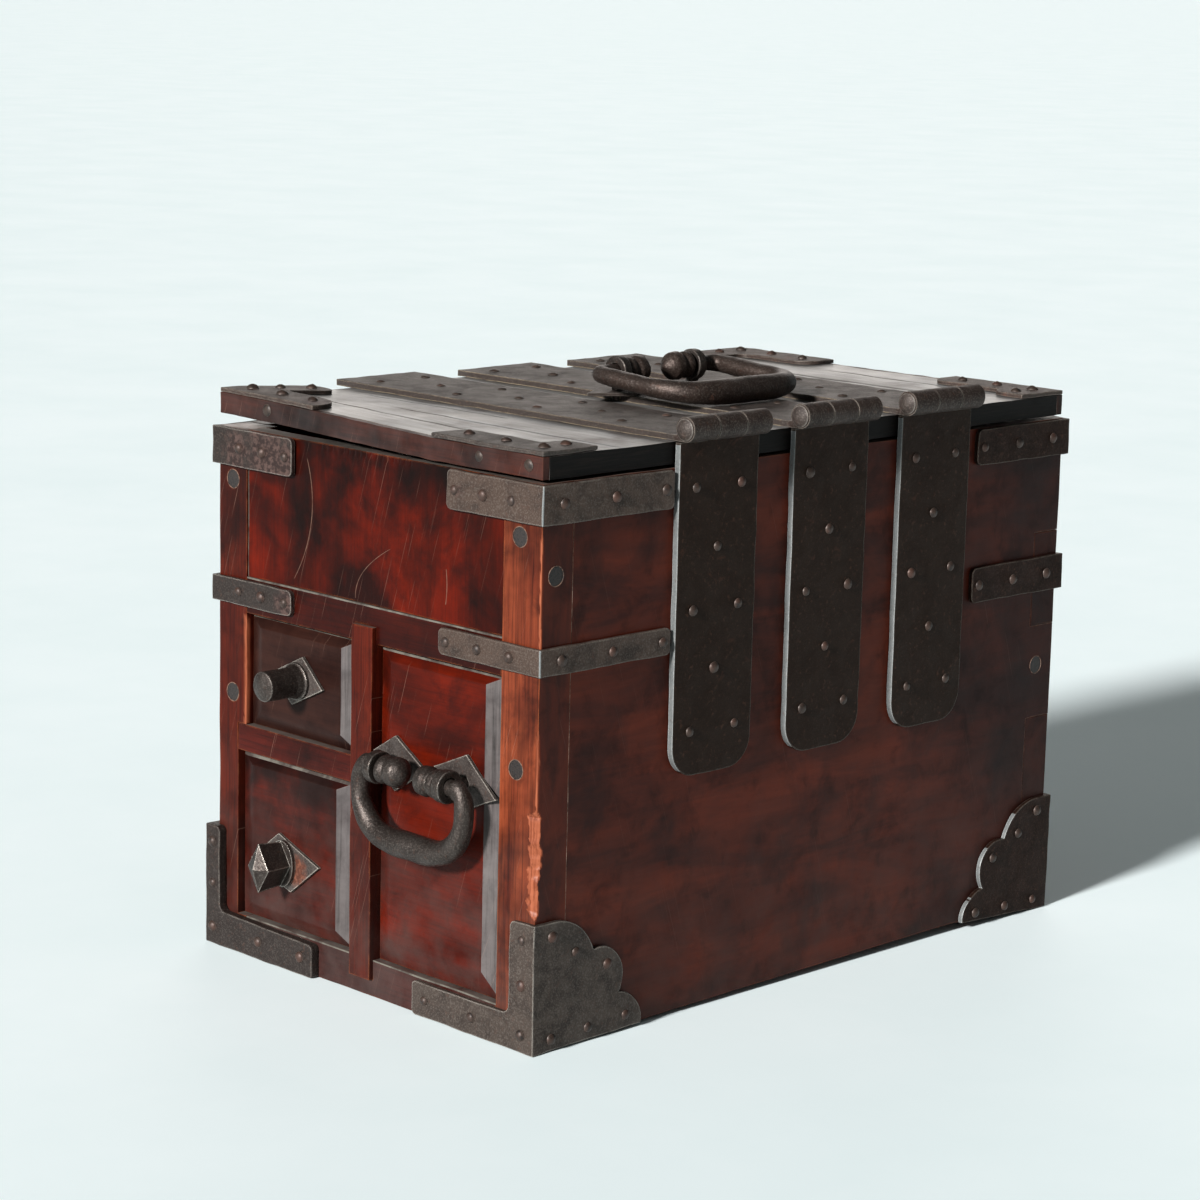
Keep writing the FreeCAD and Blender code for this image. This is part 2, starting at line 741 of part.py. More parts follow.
# ---- Bails ---------------------------------------------------------------------------
def bail_stations(spread_half, drop, corner):
    """Places, headings and rod radii along the right half of a bail that hangs along -Z."""
    bend = shoulder_radius
    stations = []
    for angle, radius in ((0, bail_pin_radius), (45, 5.8), (90, 6.1)):
        a = math.radians(angle)
        stations.append((spread_half - bend + bend * math.sin(a), -bend + bend * math.cos(a), a, radius))
    leg_end = -(drop - corner)
    stations.append((spread_half, leg_end, math.pi / 2, limb_radius))
    for angle, radius in ((30, 6.9), (60, 7.7), (90, 8.4)):
        a = math.radians(angle)
        stations.append((spread_half - corner + corner * math.cos(a), leg_end - corner * math.sin(a),
                         math.pi / 2 + a, radius))
    return stations


def bail_loop(spread_half, drop, corner):
    """The forged rod outside the rings, thick in the grip and thin at the rings."""
    right = bail_stations(spread_half, drop, corner)
    middle = [(0.0, -drop, math.pi, bar_radius)]
    left = [(-x, z, 2 * math.pi - a, r) for x, z, a, r in reversed(right)]
    wires = []
    for x, z, heading, radius in right + middle + left:
        direction = Vector(math.cos(heading), 0, -math.sin(heading))
        wires.append(Part.Wire([Part.makeCircle(radius, Vector(x, 0, z), direction)]))
    return Part.makeLoft(wires, True, False)


def bail_end(side, spacing, spread_half):
    """Straight pin through one ring, with the bead and the domed knob inside it."""
    outer = spread_half - shoulder_radius
    inner = spacing / 2 - ring_thickness / 2 - knob_start
    bead_end = inner - bead_length
    tip = bead_end - dome_length
    r = bail_knob_radius
    profile = [
        (outer, 0), (outer, bail_pin_radius), (inner, bail_pin_radius), (inner, bead_radius - 2.2),
        (inner - 1.6, bead_radius), (bead_end + 2.0, bead_radius), (bead_end, neck_radius),
        (bead_end - 1.2, r - 1.5), (bead_end - 3.4, r), (bead_end - 9.0, r - 0.3),
        (tip + 3.4, r - 2.8), (tip + 1.0, r - 6.0), (tip, r - 8.6), (tip, 0),
    ]
    return revolve_x([(side * x, radius) for x, radius in profile])


def bail(spacing, spread_half, drop, corner):
    """Whole handle, pivot on the X axis through the origin, hanging along -Z."""
    ends = [bail_end(side, spacing, spread_half) for side in (-1, 1)]
    return bail_loop(spread_half, drop, corner).fuse(ends).removeSplitter()


# ---- Drawers -------------------------------------------------------------------------
class Drawer:
    """Front opening of a drawer and the outline of the drawer that fills it."""

    def __init__(self, name, x0, x1, z0, z1, lower_bevel, slack=0.0):
        self.name = name
        self.x0 = x0 + drawer_side_gap
        self.x1 = x1 - drawer_side_gap - slack
        self.z0 = z0 + drawer_seat_gap
        self.z1 = z1 - drawer_top_gap
        self.lower_bevel = lower_bevel

    def front(self, holes):
        """Fielded front: thin edges and a raised field between bevels."""
        edge_y = front_face + front_edge_recess
        field_y = front_face + front_field_recess
        base = block(self.x0, self.x1, edge_y, edge_y + front_edge_thickness, self.z0, self.z1)
        outer = self.rectangle(edge_y, 0, 0, 0)
        inner = self.rectangle(field_y, side_bevel, self.lower_bevel, top_bevel)
        field = Part.makeLoft([outer, inner], True, True)
        return base.fuse(field).removeSplitter().cut(holes)

    def rectangle(self, y, side, low, high):
        x0, x1 = self.x0 + side, self.x1 - side
        z0, z1 = self.z0 + low, self.z1 - high
        corners = [Vector(x0, y, z0), Vector(x1, y, z0), Vector(x1, y, z1), Vector(x0, y, z1)]
        return Part.makePolygon(corners + corners[:1])

    def back_of_front(self):
        return front_face + front_edge_recess + front_edge_thickness

    def box(self):
        """Two sides and a back, as three boards."""
        x0, x1 = self.x0 + box_inset, self.x1 - box_inset
        y0, y1 = self.back_of_front(), inner_back - drawer_end_gap
        top = self.z1 - drawer_side_drop
        t = drawer_side_thickness
        left = block(x0, x0 + t, y0, y1, self.z0, top)
        right = block(x1 - t, x1, y0, y1, self.z0, top)
        back = block(x0 + t, x1 - t, y1 - drawer_back_thickness, y1, self.z0, top)
        return group([left, right, back])

    def bottom(self):
        x0 = self.x0 + box_inset + drawer_side_thickness
        x1 = self.x1 - box_inset - drawer_side_thickness
        y1 = inner_back - drawer_end_gap - drawer_back_thickness
        return block(x0, x1, self.back_of_front(), y1, self.z0, self.z0 + drawer_bottom_thickness)

    def save(self, holes):
        save(self.name + "_front", self.front(holes))
        save(self.name + "_box", self.box())
        save(self.name + "_bottom", self.bottom())


field_face = front_face + front_field_recess
field_thickness = front_edge_recess + front_edge_thickness - front_field_recess


def shank_hole(x, z):
    start = front_face - 4 * lozenge_thickness
    return rod(eye_shank_radius, 2 * post_depth, (x, start, z), (0, 1, 0))


def knob_shank(grip):
    """Shank below a knob and its clenched end, with the plate's underside at z = 0."""
    shank = rod(eye_shank_radius, grip + lozenge_thickness, (0, 0, -grip), (0, 0, 1))
    clench = rod(clench_radius, clench_thickness, (0, 0, -grip - clench_thickness), (0, 0, 1))
    return [shank, clench]


def round_knob():
    """Round iron pull with a slightly domed end, drawn along +Z from its plate."""
    z0 = lozenge_thickness
    washer = rod(washer_radius, washer_thickness, (0, 0, z0), (0, 0, 1))
    foot = z0 + washer_thickness
    flare = Part.makeCone(round_knob_foot, round_knob_radius, 5.0, Vector(0, 0, foot), Vector(0, 0, 1))
    body = rod(round_knob_radius, round_knob_length - washer_thickness, (0, 0, foot), (0, 0, 1))
    crown = nail((0, 0, z0 + round_knob_length), (0, 0, 1), round_knob_radius, round_knob_crown)
    return washer.fuse([flare, body, crown] + knob_shank(field_thickness)).removeSplitter()


def facet_section(half_width_here, half_height_here, z):
    corners = [Vector(half_width_here, 0, z), Vector(0, half_height_here, z),
               Vector(-half_width_here, 0, z), Vector(0, -half_height_here, z)]
    return Part.makePolygon(corners + corners[:1])


def facet_knob():
    """Pull forged to a lozenge section that widens outwards and ends in a low point."""
    z0 = lozenge_thickness
    rim = z0 + facet_length
    oval = Part.Ellipse(Vector(0, 0, z0), collar_height, collar_width).toShape()
    oval.rotate(Vector(0, 0, 0), Vector(0, 0, 1), 90)
    collar = Part.Face(Part.Wire(oval)).extrude(Vector(0, 0, collar_thickness))
    head = facet_section(facet_half_width, facet_half_height, rim)
    body = Part.makeLoft([facet_section(facet_neck_width, facet_neck_height, z0 + collar_thickness), head],
                         True, True)
    point = Part.makeLoft([head, facet_section(facet_tip, facet_tip, rim + facet_point)], True, True)
    return collar.fuse([body, point] + knob_shank(field_thickness)).removeSplitter()


def make_drawers():
    upper = Drawer("upper_drawer", upper_left_edge, stile_left, middle_rail_top, upper_rail_bottom, bottom_bevel)
    upper.save([shank_hole(round_knob_x, round_knob_z)])
    save("upper_drawer_knob", face_forward(round_knob(), round_knob_x, field_face, round_knob_z))
    plate = lozenge(round_plate_length, round_plate_height, round_plate_tilt, round_plate_lean)
    save("upper_drawer_plate", face_forward(plate, round_knob_x, field_face, round_knob_z))

    lower = Drawer("lower_drawer", lower_left_edge, stile_left, bottom_rail_height, middle_rail_bottom,
                   bottom_bevel, lower_drawer_slack)
    lower.save([shank_hole(facet_knob_x, facet_knob_z)])
    save("lower_drawer_knob", face_forward(facet_knob(), facet_knob_x, field_face, facet_knob_z))
    plate = lozenge(facet_plate_length, facet_plate_height, facet_plate_tilt, facet_plate_lean)
    save("lower_drawer_plate", face_forward(plate, facet_knob_x, field_face, facet_knob_z))

    tall = Drawer("tall_drawer", stile_right, right_edge, bottom_rail_height, upper_rail_bottom,
                  tall_bottom_bevel)
    middle = (tall.x0 + tall.x1) / 2 - tall_bail_offset
    eyes = [middle - tall_bail_spacing / 2, middle + tall_bail_spacing / 2]
    tall.save([shank_hole(x, tall_bail_height) for x in eyes])
    plates = []
    for x, tilt, lean in zip(eyes, tall_plate_tilts, tall_plate_leans):
        plate = lozenge(lozenge_half_length, lozenge_half_height, tilt, lean)
        plates.append(face_forward(plate, x, field_face, tall_bail_height))
    beside_stile = block(stile_left, stile_right + lozenge_stile_gap, front_face - 2 * lozenge_thickness,
                         field_face, 0, carcass_height)
    plates[0] = plates[0].cut(beside_stile)
    ring_y = field_face - lozenge_thickness - tall_ring_height
    eye = eyebolt(tall_ring_height, lozenge_thickness + field_thickness)
    save("tall_drawer_plates", group(plates))
    save("tall_drawer_eyebolts", group([face_forward(eye, x, ring_y, tall_bail_height) for x in eyes]))
    handle = bail(tall_bail_spacing, tall_bail_spread, tall_bail_drop, tall_bail_corner)
    handle.translate(Vector(middle, ring_y, tall_bail_height))
    save("tall_drawer_bail", handle)


# ---- Lid -----------------------------------------------------------------------------
def lid_eye_places():
    return [lid_bail_middle - lid_bail_spacing / 2, lid_bail_middle + lid_bail_spacing / 2]


def lid_holes():
    return [rod(eye_shank_radius, 3 * lid_thickness, (lid_bail_pivot, y, lid_bottom - lid_thickness), (0, 0, 1))
            for y in lid_eye_places()]


def lid_boards():
    """Planks that run across the chest, edge to edge."""
    start = front_face + lid_strip_thickness
    plank = (chest_depth - 2 * lid_strip_thickness) / lid_board_count
    boards = []
    for i in range(lid_board_count):
        board = block(-half_width, lid_right, start + plank * i, start + plank * (i + 1), lid_bottom, lid_top)
        boards.append(board.cut(lid_holes()))
    return group(boards)


def lid_end_strips():
    strips = []
    for sy in (-1, 1):
        strips.append(block(-half_width, lid_right, sy * half_depth, sy * (half_depth - lid_strip_thickness),
                            lid_bottom, lid_top))
    return group(strips)


def lid_corner_plate(sx, sy, face_leg, side_leg, face_end_radius):
    """L-shaped plate on a corner of the lid, with rounded ends and a rounded inner corner."""
    w = plate_leg_width
    plate = prism(polygon([(0, 0), (face_leg, 0), (face_leg, w), (w, w), (w, side_leg), (0, side_leg)]),
                  plate_thickness)
    for x, y, radius in ((face_leg, w, face_end_radius), (w, side_leg, plate_end_radius),
                         (w, w, plate_inner_radius)):
        plate = rounded_at(plate, radius, lambda e: runs_along(e, 2)
                           and abs(edge_middle(e).x - x) < 0.01 and abs(edge_middle(e).y - y) < 0.01)
    corner_x = lid_right if sx > 0 else -half_width
    matrix = FreeCAD.Matrix()
    matrix.A11, matrix.A22 = -sx, -sy
    placed = plate.transformGeometry(matrix)
    placed.translate(Vector(corner_x, sy * half_depth, lid_top))
    return placed


def plate_nails(sx, sy, face_leg, side_leg):
    """Three nails along the front or back leg of a plate and one or two along its side leg."""
    corner_x = lid_right if sx > 0 else -half_width
    z = lid_top + plate_thickness
    w = plate_leg_width / 2
    flat = [(d, w) for d in spread(3, w, face_leg - nail_corner)]
    flat.append((w, side_leg - plate_end_radius + 2))
    if side_leg > 2 * plate_leg_width:
        flat.append((w, side_leg / 2))
    return [nail((corner_x - sx * a, sy * (half_depth - b), z), (0, 0, 1), lid_nail_radius, lid_nail_height)
            for a, b in flat]


def make_lid():
    save("lid_boards", lid_boards())
    save("lid_end_strips", lid_end_strips())
    nails = []
    for i, y in enumerate(strap_ys):
        save("lid_strap_%d" % (i + 1), lid_strap(y, lid_strap_overhangs[i]).cut(lid_holes()))
        nails += lid_strap_nails(y)
    for name, sx, sy, face_leg, side_leg, end_radius in (
            ("front_left", -1, -1, plate_front_left_leg, plate_left_leg, plate_long_end_radius),
            ("front_right", 1, -1, plate_front_right_leg, plate_right_leg, plate_end_radius),
            ("back_left", -1, 1, plate_back_leg, plate_left_leg, plate_end_radius),
            ("back_right", 1, 1, plate_back_leg, plate_right_leg, plate_end_radius)):
        save("lid_plate_" + name, lid_corner_plate(sx, sy, face_leg, side_leg, end_radius))
        nails += plate_nails(sx, sy, face_leg, side_leg)
    for x in (-half_width + left_edge_nail, half_width - right_edge_nail, half_width - corner_edge_nail):
        nails.append(nail((x, front_face, lid_bottom + lid_thickness * 0.55), (0, -1, 0), lid_nail_radius, nail_height))
    eyes = lid_eye_places()
    plate = lozenge(lozenge_half_length, lozenge_half_height)
    ring_z = strap_top + lozenge_thickness + lid_ring_height
    eye = eyebolt(lid_ring_height, lozenge_thickness + strap_thickness + lid_thickness)
    save("lid_nails", group(nails))
    save("lid_bail_plates", group([face_up(plate, lid_bail_pivot, y, strap_top) for y in eyes]))
    save("lid_eyebolts", group([face_up(eye, lid_bail_pivot, y, ring_z) for y in eyes]))
    make_lid_bail(ring_z)


def lid_bail_slope(ring_z):
    """Angle below level at which the handle rests on the middle strap."""
    fall = ring_z - (strap_top + rest_gap + bar_radius)
    return math.degrees(math.asin(fall / lid_bail_drop))


def make_lid_bail(ring_z):
    handle = bail(lid_bail_spacing, lid_bail_spread, lid_bail_drop, lid_bail_corner)
    handle.rotate(Vector(0, 0, 0), Vector(0, 0, 1), 90)
    handle.rotate(Vector(0, 0, 0), Vector(0, 1, 0), -(90 - lid_bail_slope(ring_z)))
    handle.translate(Vector(lid_bail_pivot, lid_bail_middle, ring_z))
    save("lid_bail", handle)
    print("lid bail pivot z %.2f, rests %.2f degrees below level" % (ring_z, lid_bail_slope(ring_z)))


# ---- Build ---------------------------------------------------------------------------
os.makedirs("parts", exist_ok=True)
make_carcass()
carcass_nails = make_bands() + make_shoes() + make_hinges()
save("carcass_nails", group(carcass_nails))
make_drawers()
make_lid()
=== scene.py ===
import json
import math

import bmesh
import bpy
from mathutils import Matrix, Vector, noise


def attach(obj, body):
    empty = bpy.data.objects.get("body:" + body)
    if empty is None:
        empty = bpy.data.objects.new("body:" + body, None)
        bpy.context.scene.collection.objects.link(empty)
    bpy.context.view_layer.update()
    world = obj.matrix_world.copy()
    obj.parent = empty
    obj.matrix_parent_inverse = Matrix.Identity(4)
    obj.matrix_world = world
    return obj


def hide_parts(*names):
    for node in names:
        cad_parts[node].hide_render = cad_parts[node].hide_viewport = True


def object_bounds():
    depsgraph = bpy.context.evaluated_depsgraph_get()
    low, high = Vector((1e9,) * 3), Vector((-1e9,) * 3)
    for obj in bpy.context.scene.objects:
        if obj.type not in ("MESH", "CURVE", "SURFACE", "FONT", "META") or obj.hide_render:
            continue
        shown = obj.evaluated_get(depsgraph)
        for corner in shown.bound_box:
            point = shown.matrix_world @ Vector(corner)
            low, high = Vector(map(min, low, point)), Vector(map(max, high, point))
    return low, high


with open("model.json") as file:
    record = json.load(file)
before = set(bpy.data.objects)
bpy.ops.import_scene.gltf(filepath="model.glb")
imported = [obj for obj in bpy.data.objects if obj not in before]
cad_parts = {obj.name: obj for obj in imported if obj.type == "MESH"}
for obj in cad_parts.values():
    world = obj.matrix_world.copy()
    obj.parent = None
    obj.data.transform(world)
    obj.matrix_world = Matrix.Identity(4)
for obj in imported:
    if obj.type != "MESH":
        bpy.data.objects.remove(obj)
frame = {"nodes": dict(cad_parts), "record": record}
cad_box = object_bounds()
cad = frame["nodes"]
body_of = {node: body for body, nodes in frame["record"]["behaviour"]["bodies"].items() for node in nodes}
MM = 0.001
RIGHT, FRONT, DEPTH = 0.1515, -0.245, 0.490         # the carcass without its irons
LID_TOP = 0.3624
HINGE_X, HINGE_Z = 0.1595, 0.3704
PIN_REACH, KNUCKLE_REACH = 5.5 * MM, 8.5 * MM       # from the hinge axis
CAST = 5.6 * MM             # how far the lid's front left corner stands up
noise.seed_set(7)           # unevenness comes out the same at every run


# ---- Colours and node trees ----
def colour(code):
    """An sRGB hex colour as linear red, green, blue and alpha."""
    parts = [int(code[i:i + 2], 16) / 255 for i in (0, 2, 4)]
    linear = [p / 12.92 if p <= 0.04045 else ((p + 0.055) / 1.055) ** 2.4 for p in parts]
    return (*linear, 1.0)


def add(tree, kind, sockets=None, **settings):
    """Adds a node. A socket takes a plain value, an output, or a node, whose first output is meant."""
    made = tree.nodes.new(kind)
    for setting, value in settings.items():
        setattr(made, setting, value)
    for key, value in (sockets or {}).items():
        if isinstance(value, bpy.types.Node):
            value = value.outputs[0]
        if isinstance(value, bpy.types.NodeSocket):
            tree.links.new(value, made.inputs[key])
        else:
            made.inputs[key].default_value = value
    return made


def uneven(tree, size, shift, slant=(0, 0, 0), detail=4.0, warp=0.0):
    """Cloudy pattern, or streaks where its sizes along X, Y and Z differ. Sizes are in metres."""
    size = size if isinstance(size, tuple) else (size,) * 3
    place = add(tree, "ShaderNodeTexCoord").outputs["Object"]
    laid = add(tree, "ShaderNodeMapping", {"Vector": place, "Location": (shift,) * 3, "Rotation": slant,
                                           "Scale": size}, vector_type="TEXTURE")
    return add(tree, "ShaderNodeTexNoise", {"Vector": laid, "Scale": 1.0, "Detail": detail,
                                            "Roughness": 0.62, "Distortion": warp})


def sizes(axis, along, across):
    """A pattern's sizes on X, Y and Z, where one axis differs from the others."""
    return tuple(along if letter == axis else across for letter in "xyz")


def part_of(tree, pattern, low, high):
    """How much of a surface a pattern covers: none below low, all above high."""
    return add(tree, "ShaderNodeMapRange", {0: pattern, 1: low, 2: high})


def both(tree, one, other):
    """What two patterns cover together."""
    return add(tree, "ShaderNodeMath", {0: one, 1: other}, operation="MULTIPLY")


def coats(tree, ground, *layers):
    """The ground colour under other colours, each with how much of it shows. Hex codes may stand for colours."""
    def shade(tone):
        return colour(tone) if isinstance(tone, str) else tone

    for cover, over in layers:
        ground = add(tree, "ShaderNodeMix", {0: cover, 6: shade(ground), 7: shade(over)},
                     data_type="RGBA").outputs[2]
    return ground


def arris(tree, reach):
    """Edges, from how far the rounded normal turns away from the true one within reach."""
    rounded = add(tree, "ShaderNodeBevel", {"Radius": reach}, samples=4)
    true = add(tree, "ShaderNodeNewGeometry").outputs["Normal"]
    same = add(tree, "ShaderNodeVectorMath", {0: rounded, 1: true}, operation="DOT_PRODUCT").outputs["Value"]
    turned = add(tree, "ShaderNodeMath", {0: 1.0, 1: same}, operation="SUBTRACT")
    return part_of(tree, turned, 0.02, 0.16)


def marked(tree, name):
    """A mark that was laid on the mesh, such as bare wood or rust."""
    return add(tree, "ShaderNodeAttribute", attribute_name=name).outputs["Fac"]


def place_on(tree, axis):
    """Where a point lies along an axis, in metres."""
    place = add(tree, "ShaderNodeTexCoord").outputs["Object"]
    return add(tree, "ShaderNodeSeparateXYZ", {0: place}).outputs[axis]


def scored(tree, top, foot, bow):
    """A long scratch down a board from top to foot, given in X and Z, bowed sideways by so much."""
    down = part_of(tree, place_on(tree, "Z"), top[1], foot[1])
    middle = both(tree, down, add(tree, "ShaderNodeMath", {0: 1.0, 1: down}, operation="SUBTRACT"))
    course = add(tree, "ShaderNodeMapRange", {0: down, 3: top[0], 4: foot[0]})
    bowed = add(tree, "ShaderNodeMath", {0: middle, 1: 4 * bow, 2: course}, operation="MULTIPLY_ADD")
    off = add(tree, "ShaderNodeMath", {0: place_on(tree, "X"), 1: bowed}, operation="SUBTRACT")
    away = add(tree, "ShaderNodeMath", {0: off}, operation="ABSOLUTE")
    return both(tree, part_of(tree, away, 0.0005, 0.0001), part_of(tree, middle, 0.0, 0.02))


def lying(tree, way=1):
    """How much a surface lies flat, facing up for 1 and down for -1."""
    true = add(tree, "ShaderNodeNewGeometry").outputs["Normal"]
    return part_of(tree, add(tree, "ShaderNodeSeparateXYZ", {0: true}).outputs["Z"], 0.75 * way, 0.95 * way)


def relief(tree, *layers):
    """Small ups and downs as a normal; each layer has its pattern and its height in metres."""
    normal = None
    for pattern, height in layers:
        sockets = {"Height": pattern, "Distance": height, "Strength": 1.0}
        if normal:
            sockets["Normal"] = normal
        normal = add(tree, "ShaderNodeBump", sockets)
    return normal


def finish(name, surface, **plain):
    """A material whose surface function gives the linked sockets; plain sockets are set directly."""
    material = bpy.data.materials.new(name)
    material.use_nodes = True
    tree = material.node_tree
    tree.nodes.clear()
    shader = add(tree, "ShaderNodeBsdfPrincipled", surface(tree))
    for socket, value in plain.items():
        shader.inputs[socket.replace("_", " ")].default_value = value
    add(tree, "ShaderNodeOutputMaterial", {"Surface": shader})
    return material


# ---- Wood finishes ----
def lacquered_zelkova(name, along, deep, warm, bright, shift, dark=0.5, dust=0.0, roughness=0.34,
                      lines=0.5, rub=0.5, shine=0.2, ledge=0.35, low=0.6, through="y",
                      scratched=0.3, overhang_shade=(0.0, 0.0, 1.0), painted_shade_to_back=0.0, scratches=()):
    """Zelkova boards planed and wiped with many coats of lacquer: coarse grain that glows red where
    hands have polished it, near black where the lacquer has gathered, scratched, dusty on its ledges,
    and bare and orange on the arrises. Along is the grain's axis, through the axis across the board.
    A painted shade lies under an overhang: the first of its three numbers says how dark it is, the other two
    between which heights it thickens."""
    def surface(tree):
        grain = uneven(tree, sizes(along, 0.06, 0.0018), shift, warp=0.4)           # rings 1 to 2 mm apart
        streak = uneven(tree, sizes(along, 0.14, 0.028), shift + 0.3, warp=0.5)     # broader growth bands
        cloud = uneven(tree, 0.065, shift + 0.7, warp=0.3)                          # coats wiped on by hand
        stain = uneven(tree, 0.022, shift + 0.9, detail=7.0, warp=0.3)
        mark = (10.0, 0.0005, 0.07) if through == "x" else (0.0005, 10.0, 0.07)
        # Scratches run mostly up and down, and are drawn 0.5 mm wide so that they show.
        scratch = uneven(tree, mark, shift + 1.1, sizes(through, 0.3, 0.0), detail=1.0, warp=0.3)
        worn = uneven(tree, 0.012, shift + 1.3, detail=5.0)
        dusty = part_of(tree, uneven(tree, 0.03, shift + 1.6, detail=6.0), 0.30, 0.70)
        edge = arris(tree, 0.0018)
        gathered = part_of(tree, cloud, 0.68 - 0.3 * dark, 0.90 - 0.25 * dark)
        foot = part_of(tree, place_on(tree, "Z"), 0.15, 0.03)
        # Painted shade under an overhang, thickening between the given heights.
        painted_overhang_shade = both(tree, part_of(tree, place_on(tree, "Z"), *overhang_shade[1:]), part_of(tree, cloud, 0.36, 0.58))
        painted = coats(
            tree, warm,
            (part_of(tree, streak, 0.36, 0.66), bright),
            (both(tree, part_of(tree, grain, 0.46, 0.70), lines), deep),
            (both(tree, gathered, 0.9), deep),
            (both(tree, part_of(tree, stain, 0.52, 0.72), 0.6), "100706"),
            (both(tree, painted_overhang_shade, overhang_shade[0]), deep),
            # Painted shade towards the back of the chest.
            (both(tree, part_of(tree, place_on(tree, "Y"), 0.08, 0.22), painted_shade_to_back), deep),
            (both(tree, part_of(tree, scratch, 0.72, 0.76), scratched), "9a7766"),
            *((both(tree, scored(tree, *line), part_of(tree, worn, 0.25, 0.75)), "765b4d")
              for line in scratches),
            (both(tree, dusty, dust), "85807f"),
            # Paler towards the foot: dust, and a painted light bounced up from the floor.
            (both(tree, both(tree, dusty, foot), low), "43332f"),
            (both(tree, both(tree, edge, part_of(tree, worn, 0.38, 0.58)), rub), "94532f"),
            (marked(tree, "bare"), coats(tree, "97553b", (part_of(tree, grain, 0.4, 0.6), "703824"))),
            (both(tree, both(tree, lying(tree), ledge), part_of(tree, stain, 0.25, 0.55)), "85827a"))
        gloss = add(tree, "ShaderNodeMapRange", {0: stain, 1: 0.35, 2: 0.65, 3: roughness - 0.06,
                                                 4: roughness + 0.10})
        return {"Base Color": painted, "Roughness": gloss,
                "Normal": relief(tree, (grain, 0.00005), (stain, 0.0003))}
    return finish(name, surface, Specular_IOR_Level=shine)


def plain_paulownia(name, along, shift):
    """Unlacquered paulownia inside the chest: light, soft, planed, brown with age and handling."""
    def surface(tree):
        grain = uneven(tree, sizes(along, 0.12, 0.0022), shift, warp=0.5)       # rings about 2 mm apart
        age = uneven(tree, 0.06, shift + 0.4, detail=5.0)
        painted = coats(tree, "8a6a4b", (part_of(tree, grain, 0.45, 0.65), "6b4c33"),
                        (part_of(tree, age, 0.45, 0.75), "4b3626"))
        return {"Base Color": painted, "Roughness": part_of(tree, age, -1.6, 1.0),
                "Normal": relief(tree, (grain, 0.0002))}
    return finish(name, surface)


def weathered_lid_wood(name, shift):
    """The lid's boards: lacquer worn thin by weather and hands, grey over brown, with a dry sheen
    where the light grazes it, and brown underneath."""
    def surface(tree):
        grain = uneven(tree, (0.13, 0.0022, 0.0022), shift, warp=0.6)
        streak = uneven(tree, (0.14, 0.014, 0.02), shift + 0.4, warp=1.2)
        cloud = uneven(tree, 0.05, shift + 0.8, detail=6.0)
        edge = arris(tree, 0.0014)
        painted = coats(
            tree, "5c5a57",
            (part_of(tree, streak, 0.42, 0.66), "7b7b7b"),
            (both(tree, part_of(tree, grain, 0.50, 0.70), 0.45), "43352d"),
            (part_of(tree, cloud, 0.56, 0.76), "3b2a25"),
            (both(tree, edge, 0.4), "6b4a3c"),
            (lying(tree, -1), coats(tree, "4a3226", (part_of(tree, grain, 0.45, 0.65), "33211a"))),
            (marked(tree, "bare"), "1a120f"))
        return {"Base Color": painted,
                "Roughness": add(tree, "ShaderNodeMapRange", {0: cloud, 1: 0.3, 2: 0.7, 3: 0.30, 4: 0.50}),
                "Normal": relief(tree, (grain, 0.00015), (cloud, 0.0004))}
    return finish(name, surface, Specular_IOR_Level=0.4)


def gripped_lid_edge(name):
    """The lid's long edge: sawn ends of boards under thick black lacquer, rubbed by hands."""
    def surface(tree):
        grain = uneven(tree, (0.10, 0.03, 0.0012), 5.1, warp=0.3)
        painted = coats(tree, "0b0807", (part_of(tree, grain, 0.5, 0.7), "1b1411"))
        return {"Base Color": painted, "Normal": relief(tree, (grain, 0.0002))}
    return finish(name, surface, Roughness=0.55, Specular_IOR_Level=0.12)


def plug_end_grain(name):
    """Round hardwood plugs seen on their end grain, dark with lacquer and dirt."""
    def surface(tree):
        fibre = uneven(tree, 0.0012, 0.3)
        painted = coats(tree, "211814", (part_of(tree, fibre, 0.46, 0.60), "0d0908"))
        return {"Base Color": painted, "Normal": relief(tree, (fibre, 0.0004))}
    return finish(name, surface, Roughness=0.55)


def filler_line(name, pale="75594a", dirty="2b1f1b", size=0.003):
    """Hard pale filler or waxed dust left along a joint, chipped and dirty."""
    def surface(tree):
        dirt = uneven(tree, size, 0.6)
        painted = coats(tree, pale, (part_of(tree, dirt, 0.42, 0.62), dirty))
        return {"Base Color": painted}
    return finish(name, surface, Roughness=0.7)


